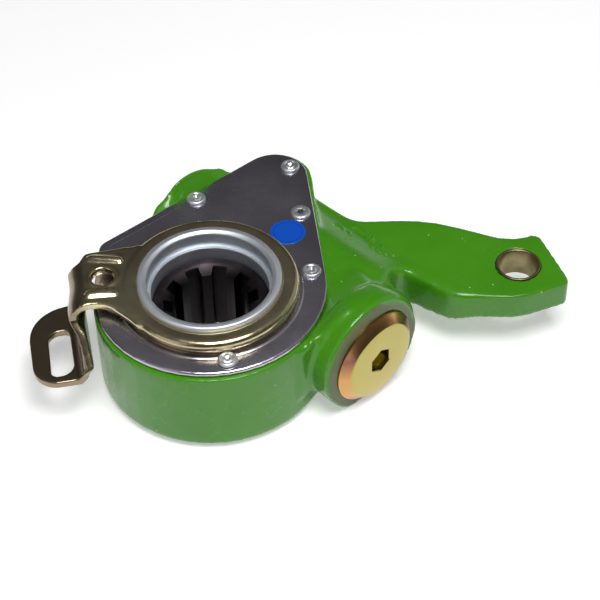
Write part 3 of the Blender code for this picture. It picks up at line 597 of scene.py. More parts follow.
def ring_profile(profile: Sequence[Point], steps: int = 144, matrix: Matrix = HERE,
                 closed: bool = True) -> Shape:
    """A profile of radius and height spun round Z.

    Args:
        profile: The section's points.
        steps: Steps of the full turn.
        matrix: Where the piece goes in the frame.
        closed: Join the last point to the first, as for a ring.

    Returns:
        The new bmesh, with outward normals.
    """
    bm = bmesh.new()
    points = [bm.verts.new((r, 0, z)) for r, z in profile]
    pairs = list(zip(points, points[1:] + points[:1]))
    for first, second in pairs if closed else pairs[:-1]:
        bm.edges.new((first, second))
    bmesh.ops.spin(bm, geom=[*bm.verts, *bm.edges], cent=(0, 0, 0), axis=(0, 0, 1),
                   angle=2 * math.pi, steps=steps, use_merge=True)
    bmesh.ops.remove_doubles(bm, verts=bm.verts, dist=1e-7)
    return finished(bm, matrix)


def rounded_profile(corners: Sequence[tuple[float, float, float]], steps: int = 5) -> list[Point]:
    """A closed section whose corners are rounded.

    Args:
        corners: Radius, height and fillet of each corner.
        steps: Steps in each fillet.

    Returns:
        The section's points.
    """
    points: list[Point] = []
    count = len(corners)
    for i, (x, y, fillet) in enumerate(corners):
        here = Vector((x, y))
        before = (Vector(corners[i - 1][:2]) - here).normalized()
        after = (Vector(corners[(i + 1) % count][:2]) - here).normalized()
        half = before.angle(after) / 2
        if fillet <= 0 or half > math.radians(89.5):
            points.append((x, y))
            continue
        centre = here + (before + after).normalized() * (fillet / math.sin(half))
        first = here + before * (fillet / math.tan(half)) - centre
        last = here + after * (fillet / math.tan(half)) - centre
        start = math.atan2(first.y, first.x)
        sweep = (math.atan2(last.y, last.x) - start + math.pi) % (2 * math.pi) - math.pi
        points += arc((centre.x, centre.y), fillet, start, start + sweep, steps)
    return points


def to_mesh(name: str, bm: Shape) -> bpy.types.Mesh:
    """Write a bmesh to a new mesh, and free it."""
    mesh = bpy.data.meshes.new(name)
    bm.to_mesh(mesh)
    bm.free()
    return mesh


def linked(name: str, data: bpy.types.ID) -> bpy.types.Object:
    """A new object in the scene."""
    obj = bpy.data.objects.new(name, data)
    bpy.context.scene.collection.objects.link(obj)
    return obj


@dataclass
class Workshop:
    """Turns meshes into pieces that ride on the frame's bodies.

    Attributes:
        nodes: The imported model's objects, by node name.
    """

    nodes: dict[str, bpy.types.Object]

    def place(self, name: str, bm: Shape, material: Material, body: Body, slot: Slot,
              replaced: Sequence[str] = (), smooth: float = 35.0) -> bpy.types.Object:
        """Link a finished bmesh as a piece.

        Args:
            name: The piece's name.
            bm: The finished shape, which is freed.
            material: Its finish.
            body: The body that it rides on.
            slot: The record's slot for its finish; not used.
            replaced: The CAD nodes that it stands for.
            smooth: The angle in degrees past which an edge is sharp.

        Returns:
            The new object.
        """
        mesh = to_mesh(name, bm)
        mesh.materials.append(material)
        mesh.shade_smooth()
        mesh.set_sharp_from_angle(angle=math.radians(smooth))
        obj = linked(name, mesh)
        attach(obj, body.value)
        if replaced:
            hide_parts(*replaced)
        log.info("%s: %d faces on %s", name, len(mesh.polygons), body.value)
        return obj

    def dress(self, node: str, material: Material) -> None:
        """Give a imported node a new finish."""
        slots = self.nodes[node].data.materials
        slots.clear()
        slots.append(material)
        log.info("%s: finish %s", node, material.name)

    def remeshed(self, node: str, voxel: float, fillers: Sequence[Shape] = ()) -> Shape:
        """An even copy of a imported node, for rounding its edges.

        Args:
            node: The node to copy.
            voxel: The size of its new faces.
            fillers: Closed shapes that fill its corners, which are freed.

        Returns:
            A bmesh of evenly sized quads.
        """
        merged = bmesh.new()
        merged.from_mesh(self.nodes[node].data)
        bmesh.ops.remove_doubles(merged, verts=merged.verts, dist=2e-6)
        for filler in fillers:
            extra = to_mesh(node + "_filler", filler)
            merged.from_mesh(extra)
            bpy.data.meshes.remove(extra)
        source = to_mesh(node + "_merged", merged)
        guide = linked(node + "_guide", source)
        step = guide.modifiers.new("even", "REMESH")
        step.mode = "VOXEL"
        step.voxel_size = voxel
        graph = bpy.context.evaluated_depsgraph_get()
        even = bpy.data.meshes.new_from_object(guide.evaluated_get(graph))
        bm = bmesh.new()
        bm.from_mesh(even)
        bpy.data.objects.remove(guide)
        bpy.data.meshes.remove(even)
        bpy.data.meshes.remove(source)
        return bm


def prism(outline: Sequence[Point], low: float, high: float, matrix: Matrix = HERE,
          slope: float = 0.0) -> Shape:
    """A closed block of a counter-clockwise outline.

    Args:
        outline: The plan of the block.
        low: The height of its bottom.
        high: The height of its top.
        matrix: Where the piece goes in the frame.
        slope: How much the top falls for each metre along X.

    Returns:
        The new bmesh, with outward normals.
    """
    bm = bmesh.new()
    floor = bm.faces.new([bm.verts.new((x, y, low)) for x, y in outline])
    grown = bmesh.ops.extrude_face_region(bm, geom=[floor])["geom"]
    for vertex in (g for g in grown if isinstance(g, bmesh.types.BMVert)):
        vertex.co.z = high - slope * vertex.co.x
    return finished(bm, matrix)


def even_out(bm: Shape, chosen: Sequence[bmesh.types.BMVert], rounds: int = 1, sideways: bool = True) -> None:
    """Move points halfway to the middle of their neighbours, or only up and down.

    Args:
        bm: The mesh to smooth.
        chosen: The points that move.
        rounds: How often they do.
        sideways: Whether they also move along X and Y.
    """
    for _ in range(rounds):
        bmesh.ops.smooth_vert(bm, verts=chosen, factor=0.5, use_axis_x=sideways, use_axis_y=sideways,
                              use_axis_z=True)


def relax(bm: Shape, weight: Callable[[Vector], float], rounds: int) -> None:
    """Smooth a mesh more where the weight is higher.

    Args:
        bm: The mesh to smooth.
        weight: From 0, left alone, to 1, smoothed in every round.
        rounds: The number of rounds at full weight.
    """
    weights = {v: weight(v.co) for v in bm.verts}
    for done in range(rounds):
        chosen = [v for v, w in weights.items() if w * rounds > done]
        if chosen:
            even_out(bm, chosen)


def soft_step(value: float, low: float, high: float) -> float:
    """0 below low, 1 above high, and a smooth rise between them."""
    share = min(1.0, max(0.0, (value - low) / (high - low)))
    return share * share * (3 - 2 * share)


def rise(value: float, low: float, high: float) -> float:
    """A soft step of a length, with its ends in millimetres."""
    return soft_step(value, low * MM, high * MM)


def turned(turn: float, low: float, high: float) -> float:
    """A soft step of an angle within one turn, with its ends in degrees."""
    return soft_step(turn % (2 * math.pi), math.radians(low), math.radians(high))


def in_mm(points: Sequence[Point]) -> list[Point]:
    """A table of millimetres as points in metres."""
    return [(x * MM, y * MM) for x, y in points]


def capsule_distance(place: Vector, start: Point, end: Point) -> float:
    """How far a point is from a straight line between two points, in plan."""
    first = Vector(start)
    span = Vector(end) - first
    here = Vector((place.x, place.y)) - first
    share = min(1.0, max(0.0, here.dot(span) / span.length_squared))
    return (here - span * share).length


# The adjuster


@dataclass
class WormAxis:
    """Where the worm's axis runs in the frame."""

    turn: float = math.radians(33.5)
    distance: float = 34.1 * MM
    height: float = 19.3 * MM

    @property
    def out(self) -> Vector:
        """The direction out through the spring cap."""
        return Vector((math.sin(self.turn), -math.cos(self.turn), 0))

    @property
    def side(self) -> Vector:
        """The direction from the spline axis to the worm axis."""
        return Vector((math.cos(self.turn), math.sin(self.turn), 0))

    @property
    def matrix(self) -> Matrix:
        """Local Z points out through the cap and local Y points up."""
        place = self.side * self.distance + Vector((0, 0, self.height))
        up = Vector((0, 0, 1))
        rows = [(self.side[i], up[i], self.out[i], place[i]) for i in range(3)]
        return Matrix((*rows, (0, 0, 0, 1)))

    def local(self, point: Vector) -> Vector:
        """A point of the frame, seen from the worm's middle."""
        return self.matrix.inverted() @ point


@dataclass
class CastHousing:
    """The green casting and the bush in its eye.

    The tables are in millimetres, in the frame's plan, apart from the notch's: it is drawn in the
    upright plane through the worm's axis, with the axis downwards.
    """

    shop: Workshop
    axis: WormAxis
    voxel: float = 0.75 * MM
    body_height: float = 37.5 * MM
    cap_face: float = 57.5 * MM
    boss_low: float = -1.9 * MM
    eye_at: float = 127.0 * MM
    bush_bore: float = 7.95 * MM
    bush_radius: float = 9.2 * MM
    bush_low: float = 15.6 * MM
    bush_high: float = 28.8 * MM
    collar_radius: float = 25.7 * MM
    collar_inside: float = 22.0 * MM
    collar_shift: Point = (-0.4 * MM, 2.2 * MM)
    notch_plan: tuple[Point, ...] = ((12, -53.5), (25.5, -52), (26.5, -44), (25, -22), (12, -22))
    web_plan: tuple[Point, ...] = (
        (24, -37), (29, -38.2), (35, -34.6), (43, -30.6), (49, -29), (53, -21), (47, -17), (42, -22),
        (37, -27))
    far_side: tuple[float, float, float] = (-0.483, 0.875, 0.0)
    far_lift: float = 2.4 * MM
    far_growth: float = 2.8 * MM
    saddle_rounds: int = 160
    ridge_line: tuple[Point, Point] = ((34.0 * MM, -33.6 * MM), (49.5 * MM, -27.2 * MM))
    ridge_height: float = 1.1 * MM
    mark_scale: float = 1.3
    mark_table: tuple[tuple[Point, Point, float, float], ...] = (
        ((58.6, 35.4), (59.4, 34.2), 1.5, -0.5), ((60.6, 33.6), (61.0, 32.0), 0.7, 0.5),
        ((62.1, 32.4), (63.0, 31.4), 0.6, 0.5), ((62.8, 30.2), (63.2, 28.6), 0.7, 0.5),
        ((65.8, 34.0), (68.6, 28.6), 1.2, -0.45), ((69.6, 28.4), (71.8, 25.4), 1.0, 0.7),
        ((68.6, 35.6), (72.2, 26.4), 0.8, 0.5), ((72.2, 26.4), (74.8, 21.0), 0.8, 0.6),
        ((74.8, 21.0), (78.2, 15.0), 0.8, 0.55), ((69.8, 20.9), (70.6, 19.4), 0.8, 0.45),
        ((71.6, 18.4), (73.0, 16.4), 0.7, 0.5), ((74.3, 17.2), (75.2, 15.4), 0.7, 0.5),
        ((51.0, 3.5), (51.1, 3.6), 0.6, -0.6),
    )

    def cast_weight(self, place: Vector) -> float:
        """How much of the rounding a point of the casting gets."""
        local = self.axis.local(place)
        rim = soft_step(local.z, self.cap_face - 5 * MM, self.cap_face - 1 * MM)
        eye = math.hypot(place.x - self.eye_at, place.y)
        near_eye = 1 - soft_step(eye, self.bush_radius, self.bush_radius + 2.5 * MM)
        far_end = rise(-local.z, 47, 50) * (1 - rise(local.xy.length, 14, 17))
        seat = soft_step(place.z, self.body_height - 1.5 * MM, self.body_height - 0.2 * MM)
        inside_seat = seat * (1 - soft_step(place.z, self.body_height, self.body_height + 1.0 * MM))
        return max(0.08, 1 - max(rim * 0.75, near_eye, inside_seat * 0.8, far_end * 0.8))

    def saddle(self, bm: Shape, cover: RadiusAt) -> None:
        """Draw one smooth skin from the cover's edge up to the boss.

        Args:
            bm: The casting.
            cover: The cover's edge in each direction.
        """
        bm.normal_update()
        chosen = []
        for vertex in bm.verts:
            place = vertex.co
            local = self.axis.local(place)
            inside = -23 * MM < local.x < 10 * MM and 2 * MM < local.z < self.cap_face - 2.2 * MM
            if not inside or vertex.normal.z < 0.3 or place.z < 30 * MM:
                continue
            if math.hypot(place.x, place.y) > cover(math.atan2(place.y, place.x)) + 1.2 * MM:
                chosen.append(vertex)
        even_out(bm, chosen, self.saddle_rounds, sideways=False)
        log.info("saddle: %d points", len(chosen))

    def notch_filler(self) -> Shape:
        """The web that fills the notch between the lever and the boss."""
        matrix = self.axis.matrix @ Matrix.Rotation(math.radians(-90), 4, "X")
        return prism(in_mm(self.notch_plan), -8 * MM, 22.5 * MM, matrix, slope=0.42)

    def web_filler(self) -> Shape:
        """The web between the body's wall and the boss, under the ridge."""
        return prism(in_mm(self.web_plan), 10 * MM, 27.4 * MM, slope=-0.3)

    def boss_collar(self) -> Shape:
        """The boss's wide face ring, a little high of the cap."""
        high = self.cap_face
        section = [
            (self.collar_inside, high - 14 * MM), (24.2 * MM, high - 14 * MM),
            (self.collar_radius, high - 7 * MM), (self.collar_radius, high - 0.8 * MM),
            (25.0 * MM, high), (self.collar_inside, high),
        ]
        bm = ring_profile(section, 96, self.axis.matrix @ Matrix.Translation((*self.collar_shift, 0)))
        self.flatten_below(bm)
        return bm

    def flatten_below(self, bm: Shape) -> None:
        """Keep the casting flat where it ends below."""
        for vertex in bm.verts:
            vertex.co.z = max(vertex.co.z, self.boss_low)

    def flatten_seat(self, bm: Shape, cover: RadiusAt) -> None:
        """Keep the casting below the cover wherever the cover lies on it."""
        for vertex in bm.verts:
            out = math.hypot(vertex.co.x, vertex.co.y)
            if out < cover(math.atan2(vertex.co.y, vertex.co.x)) + 0.2 * MM:
                vertex.co.z = min(vertex.co.z, self.body_height - 0.05 * MM)

    def far_boss(self, bm: Shape) -> None:
        """Swell the far boss beyond the cover's straight edge."""
        matrix = self.axis.matrix
        across = Vector(self.far_side)
        moved = []
        for vertex in bm.verts:
            local = self.axis.local(vertex.co)
            out = local.xy.length
            beyond = rise(vertex.co.dot(across), 50.7, 51.6) * (1 - rise(out, 25.2, 27.5))
            if local.z > -30 * MM or not beyond:
                continue
            moved.append(vertex)
            weight = beyond * rise(out, 13.5, 17)
            local.y = local.y * (1 + 0.04 * weight) + self.far_lift * rise(local.y, -16, 2) * weight
            local.x *= 1 - (0.03 + 0.14 * rise(-local.x, 0, 10)) * weight
            local.z -= self.far_growth * weight
            vertex.co = matrix @ local
        even_out(bm, moved, 3)

    def ridge(self, bm: Shape) -> None:
        """Raise the rounded ridge that runs from the body's rim onto the boss."""
        for vertex in bm.verts:
            if vertex.co.z < 28 * MM or vertex.normal.z < 0.15:
                continue
            gap = capsule_distance(vertex.co, *self.ridge_line)
            vertex.co.z += self.ridge_height * (1 - rise(gap, 0.4, 3.2))

    def marks(self, bm: Shape) -> None:
        """Raise the forging marks on the lever and sink one small pit."""
        bm.normal_update()
        area = [e for e in bm.edges if all(
            57 * MM < v.co.x < 81 * MM and 12 * MM < v.co.y < 38 * MM and v.normal.z > 0.3 for v in e.verts)]
        bmesh.ops.subdivide_edges(bm, edges=area, cuts=2, use_grid_fill=True)
        for vertex in bm.verts:
            if vertex.normal.z < 0.3:
                continue
            for start, end, width, height in self.mark_table:
                if abs(vertex.co.x / MM - start[0]) > 12:
                    continue
                gap = capsule_distance(vertex.co / MM, start, end)
                vertex.co.z += self.mark_scale * height * MM * (1 - soft_step(gap, width * 0.3, width * 1.25))

    def edge_weight(self, place: Vector) -> float:
        """How much more the lever's near edge and its notch are rounded."""
        along = rise(place.x, 62, 68) * (1 - rise(place.x, 102, 112))
        near = 1 - rise(place.y, 8, 14)
        return along * near * rise(place.z, 20, 24)

    def build(self, paint: Material, bronze: Material, cover: RadiusAt) -> None:
        """Make the casting and its bush."""
        fillers = [self.notch_filler(), self.web_filler(), self.boss_collar()]
        bm = self.shop.remeshed("housing", self.voxel, fillers)
        relax(bm, self.cast_weight, 12)
        self.saddle(bm, cover)
        self.ridge(bm)
        relax(bm, self.edge_weight, 50)
        relax(bm, self.cast_weight, 4)
        self.far_boss(bm)
        self.flatten_below(bm)
        self.flatten_seat(bm, cover)
        self.marks(bm)
        self.shop.place("painted_casting", bm, paint, Body.HOUSING, Slot.GREEN, ["housing"], smooth=70)
        edge = 0.7 * MM
        section = rounded_profile([
            (self.bush_bore, self.bush_low, edge), (self.bush_radius, self.bush_low, edge / 2),
            (self.bush_radius, self.bush_high, edge / 2), (self.bush_bore, self.bush_high, edge),
        ])
        place = Matrix.Translation((self.eye_at, 0, 0))
        bush = ring_profile(section, 96, place)
        self.shop.place("pin_bush", bush, bronze, Body.HOUSING, Slot.BRONZE, ["clevis_bush"])


@dataclass
class CoverSide:
    """The pressed cover plate, its fasteners and the blue dot."""

    shop: Workshop
    low: float = 38.1 * MM
    top: float = 39.6 * MM
    step: float = 0.4 * MM
    step_radius: float = 37.0 * MM
    hole: float = 30.8 * MM
    edge: float = 1.1 * MM
    band: float = 4.0 * MM
    dot_at: Point = (36.3 * MM, 26.7 * MM)
    dot_radius: float = 7.3 * MM
    dome: float = 1.8 * MM
    dimple: float = 2.4 * MM
    step_table: tuple[Point, ...] = ((-0.7, 1.0), (-0.3, 0.94), (0.0, 0.5), (0.3, 0.06), (0.6, 0.0))
    dome_table: tuple[Point, ...] = (
        (0, 0.45), (0.5, 0.5), (0.9, 1.0), (1.3, 1.2), (1.8, 1.15), (2.2, 0.9), (2.6, 1.05), (3.0, 1.2),
        (3.4, 1.15), (3.75, 0.85), (3.95, 0.4), (3.95, 0), (2.1, 0))

    def outline(self) -> list[Point]:
        """The plate's edge."""
        return belt([
            (0.3 * MM, 1.9 * MM, 46.6 * MM),
            (37.2 * MM, 62.4 * MM, 13.8 * MM),
            (-35.2 * MM, 31.6 * MM, 5.8 * MM),
        ])

    def step_line(self, outline: RadiusAt) -> tuple[RadiusAt, RadiusAt]:
        """The pressed step: its radius and its height in each direction.

        Args:
            outline: The plate's edge.

        Returns:
            Two functions of the angle.
        """
        def radius_at(turn: float) -> float:
            """The circle round the sleeve, pulled out to the edge's band at the upper left."""
            out = turned(turn, 80, 96)
            back = turned(turn, 137, 147)
            share = out * (1 - back)
            return self.step_radius * (1 - share) + (outline(turn) - self.band) * share

        def height_at(turn: float) -> float:
            """The step fades out on the side of the flat screw."""
            fade = turned(turn, 4, 10)
            back = turned(turn, 92, 102)
            return self.step * max(1 - fade, back)

        return radius_at, height_at

    def edge_at(self) -> RadiusAt:
        """The plate's edge in each direction."""
        exact = polar(self.outline())
        table = [exact(math.radians(i)) for i in range(361)]

        def outline(turn: float) -> float:
            """The edge, read from a table of one degree steps."""
            degrees = math.degrees(turn) % 360
            low = int(degrees)
            share = degrees - low
            return table[low] * (1 - share) + table[min(low + 1, 360)] * share

        return outline

    def build_plate(self, zinc: Material) -> None:
        """Make the plate from its hole outwards."""
        outline = self.edge_at()
        radius_at, height_at = self.step_line(outline)
        rings: list[Ring] = [
            (self.hole, self.low),
            (self.hole, lambda t: self.top + height_at(t) - 0.3 * MM),
            (self.hole + 0.3 * MM, lambda t: self.top + height_at(t)),
        ]
        for shift, share in self.step_table:
            rings.append((lambda t, shift=shift: radius_at(t) + shift * MM,
                          lambda t, share=share: self.top + share * height_at(t)))
        for i in range(5):
            turn = math.radians(90 - 22.5 * i)
            inset = self.edge * (1 - math.cos(turn))
            height = self.top - self.edge * (1 - math.sin(turn))
            rings.append((lambda t, inset=inset: outline(t) - inset, height))
        rings.append((outline, self.low))
        rings.append((lambda t: outline(t) - 1 * MM, self.low - 0.05 * MM))
        rings.append((self.hole, self.low))
        bm = ring_loft(rings, 360)
        bmesh.ops.remove_doubles(bm, verts=bm.verts, dist=1e-6)
        bmesh.ops.recalc_face_normals(bm, faces=bm.faces)
        self.shop.place("pressed_cover", bm, zinc, Body.HOUSING, Slot.ZINC, ["cover_plate"], smooth=30)

    def build_domes(self, bright: Material) -> None:
        """Make the domed heads with their punched middles."""
        for i in range(1, 6):
            low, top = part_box(f"cover_screw_{i}")
            middle = (low + top) / 2
            seat = top.z - self.dome
            section = [(out, seat + high) for out, high in in_mm(self.dome_table)]
            section += [(2.1 * MM, low.z), (0, low.z)]
            place = Matrix.Translation((middle.x, middle.y, 0)) @ Matrix.Rotation(1.3 * i, 4, "Z")
            bm = ring_profile(section, 48, closed=False)
            for vertex in bm.verts:
                out = math.hypot(vertex.co.x, vertex.co.y)
                if vertex.co.z > seat and out < self.dimple:
                    wave = math.sin(3 * math.atan2(vertex.co.y, vertex.co.x) + i)
                    vertex.co.z += 0.16 * MM * wave * out / self.dimple
            bm.transform(place)
            self.shop.place(f"dome_head_{i}", bm, bright, Body.HOUSING, Slot.ZINC, [f"cover_screw_{i}"], 50)

    def build_socket_screw(self, bright: Material, shade_finish: Material) -> None:
        """Make the flat screw with its lobed socket, and a black plug in the socket as painted shade."""
        low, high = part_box("vent_screw")
        middle = (low + high) / 2
        wide = (high.x - low.x) / 2
        seat = self.top + 0.1 * MM
        rings: list[Ring] = [
            (lobed_radius(0.9 * MM, 0.12 * MM), high.z - 1.5 * MM),
            (lobed_radius(1.35 * MM, 0.22 * MM), high.z - 1.45 * MM),
            (lobed_radius(1.4 * MM, 0.24 * MM), high.z - 0.1 * MM),
            (lobed_radius(1.6 * MM, 0.2 * MM), high.z),
            (2.6 * MM, high.z), (wide - 0.75 * MM, high.z - 0.05 * MM), (wide - 0.3 * MM, high.z - 0.25 * MM),
            (wide, high.z - 0.6 * MM), (wide, seat), (2.1 * MM, seat), (2.1 * MM, low.z),
        ]
        place = Matrix.Translation((middle.x, middle.y, 0))
        bm = ring_loft(rings, 72, cap_last=True, cap_first=True, matrix=place)
        self.shop.place("socket_screw", bm, bright, Body.HOUSING, Slot.ZINC, ["vent_screw"], 45)
        # Painted shade: a black plug on the socket's floor stands for the shade inside it.
        floor = high.z - 1.42 * MM
        plug: list[Ring] = [
            (1.0 * MM, floor + 0.9 * MM), (lobed_radius(1.36 * MM, 0.22 * MM), floor + 0.85 * MM),
            (lobed_radius(1.38 * MM, 0.23 * MM), floor),
        ]
        bm = ring_loft(plug, 72, cap_last=True, cap_first=True, matrix=place)
        self.shop.place("socket_painted_shade", bm, shade_finish, Body.HOUSING, Slot.GASKET, smooth=45)

    def build_dot(self) -> None:
        """Lay the blue film on the plate."""
        thick = 0.12 * MM
        rings: list[Ring] = [
            (self.dot_radius * 0.5, self.top + thick), (self.dot_radius - 0.1 * MM, self.top + thick),
            (self.dot_radius, self.top + thick / 2), (self.dot_radius, self.top),
        ]
        x, y = self.dot_at
        bm = ring_loft(rings, 96, cap_first=True, cap_last=True, matrix=Matrix.Translation((x, y, 0)))
        film = DotPaper(Vector((x, y, self.top)), self.dot_radius).build()
        self.shop.place("blue_dot", bm, film, Body.HOUSING, Slot.GASKET, smooth=30)


@dataclass
class CapSide:
    """The spring cap, seen from outside the boss."""

    shop: Workshop
    axis: WormAxis
    face: float = 61.5 * MM
    flange: float = 57.6 * MM
    radius: float = 20.4 * MM
    face_radius: float = 16.7 * MM
    low: float = 48.5 * MM
    neck: float = 18.3 * MM
    groove: float = 16.9 * MM
    key: float = 9.6 * MM
    key_depth: float = 7.0 * MM

    def build(self) -> None:
        """Make the cap from the socket's floor outwards."""
        gold = CapGold(self.axis.matrix, self.face_radius).build()
        key = polygon_radius(self.key, 6, math.radians(30))
        wider = polygon_radius(self.key + 0.7 * MM, 6, math.radians(30))
        rings: list[Ring] = [
            (1.5 * MM, self.face - self.key_depth - 1.2 * MM),
            (key, self.face - self.key_depth),
            (key, self.face - 0.35 * MM),
            (wider, self.face),
            (8.0 * MM, self.face),
            (self.face_radius - 0.5 * MM, self.face),
            (self.face_radius - 0.1 * MM, self.face - 0.12 * MM),
            (self.face_radius + 0.3 * MM, self.face - 0.45 * MM),
            (self.radius - 0.75 * MM, self.flange + 0.95 * MM),
            (self.radius - 0.3 * MM, self.flange + 0.72 * MM),
            (self.radius, self.flange + 0.4 * MM),
            (self.radius, self.flange),
            (self.neck, self.flange), (self.neck, 55.1 * MM), (self.groove, 55.1 * MM),
            (self.groove, 52.9 * MM), (self.neck, 52.9 * MM), (self.neck, self.low),
        ]
        bm = ring_loft(rings, 144, cap_first=True, cap_last=True, matrix=self.axis.matrix)
        self.shop.place("gold_cap", bm, gold, Body.HOUSING, Slot.YELLOW, ["spring_cap"], smooth=32)


@dataclass
class ControlSide:
    """The sleeve with its disc, the washer and the pressed control arm."""

    shop: Workshop
    sleeve_bore: float = 24.9 * MM
    sleeve_radius: float = 28.7 * MM
    sleeve_top: float = 47.7 * MM
    disc_radius: float = 33.2 * MM
    disc_low: float = 32.9 * MM
    disc_top: float = 37.2 * MM
    hub_clear: float = 23.55 * MM
    lip: float = 40.3 * MM
    washer_bore: float = 28.82 * MM
    arm_low: float = 42.25 * MM
    arm_high: float = 45.65 * MM
    voxel: float = 0.42 * MM
    corner_plans: tuple[tuple[Point, ...], ...] = (
        ((-36, 6), (-28, 6), (-24, 20), (-24.5, 26.2), (-36, 25.3)),
        ((-28, 0), (-26, -17), (-31, -19), (-34.2, -13.9), (-36.5, -10), (-38.5, -6.4), (-36, -4)),
    )
    ribs: tuple[tuple[Point, Point, float], ...] = (
        ((-45.0, 21.4), (-33.6, 18.0), 2.1),
        ((-48.0, 1.2), (-37.8, 0.2), 2.1),
    )
    rib_height: float = 0.8 * MM

    def build_sleeve(self, bright: Material) -> None:
        """Make the sleeve with its rolled mouth and inner lip."""
        section = rounded_profile([
            (self.sleeve_bore, self.sleeve_top - 0.9 * MM, 1.1 * MM),
            (self.sleeve_bore + 1.5 * MM, self.sleeve_top, 0.8 * MM),
            (self.sleeve_radius, self.sleeve_top, 1.0 * MM),
            (self.sleeve_radius, self.disc_top, 0.3 * MM),
            (self.disc_radius, self.disc_top, 0.6 * MM),
            (self.disc_radius, self.disc_low, 0.6 * MM),
            (self.hub_clear, self.disc_low, 0.3 * MM),
            (self.hub_clear, self.lip, 0.1 * MM),
            (self.sleeve_bore, self.lip - 0.35 * MM, 0.0),
        ])
        bm = ring_profile(section, 160)
        self.shop.place("silver_sleeve", bm, bright, Body.CONTROL, Slot.ZINC, ["control_disc"], smooth=40)

    def build_washer(self, gold: Material) -> None:
        """Make the thin washer under the arm."""
        low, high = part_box("arm_washer")
        section = rounded_profile([
            (self.washer_bore, low.z, 0.2 * MM), (high.x, low.z, 0.6 * MM),
            (high.x, high.z, 0.6 * MM), (self.washer_bore, high.z, 0.2 * MM),
        ])
        bm = ring_profile(section, 144)
        self.shop.place("gold_washer", bm, gold, Body.CONTROL, Slot.YELLOW, ["arm_washer"])

    def corner_weight(self, place: Vector) -> float:
        """Where the lug runs into the ring, it gets wide fillets."""
        out = math.hypot(place.x, place.y)
        near = (1 - rise(abs(out - 36.5 * MM), 2, 4)) * (1 - rise(place.x, -28, -22))
        middle = 1 - rise(abs(place.y - 9 * MM), 8, 11)
        return near * (1 - middle)

    def bend_shift(self, place: Vector) -> float:
        """The outer bend leans in on its far side, and the strap bulges towards the body."""
        lean = 2.0 * MM * rise(place.y, -2, 14) * rise(place.z, 28, 34)
        lean *= 1 - rise(place.x, -52, -46)
        bulge = 2.4 * MM * rise(place.z, 21.5, 26) * (1 - rise(place.z, 33, 40))
        return lean + bulge

    def build_arm(self, gold: Material) -> None:
        """Round the pressed sheet of the control arm."""
        fillers = [prism(in_mm(plan), self.arm_low, self.arm_high) for plan in self.corner_plans]
        bm = self.shop.remeshed("control_arm", self.voxel, fillers)
        relax(bm, self.corner_weight, 24)
        relax(bm, lambda place: 1.0, 5)
        bm.normal_update()
        for vertex in bm.verts:
            if vertex.co.z > 44.3 * MM and vertex.normal.z > 0.2:
                for start, end, wide in self.ribs:
                    gap = capsule_distance(vertex.co / MM, start, end)
                    vertex.co.z += self.rib_height * (1 - soft_step(gap, wide * 0.35, wide))
        relax(bm, lambda place: 1.0, 1)
        for vertex in bm.verts:
            vertex.co.x += self.bend_shift(vertex.co)
        self.shop.place("pressed_arm", bm, gold, Body.CONTROL, Slot.YELLOW, ["control_arm"], smooth=70)


# Studio


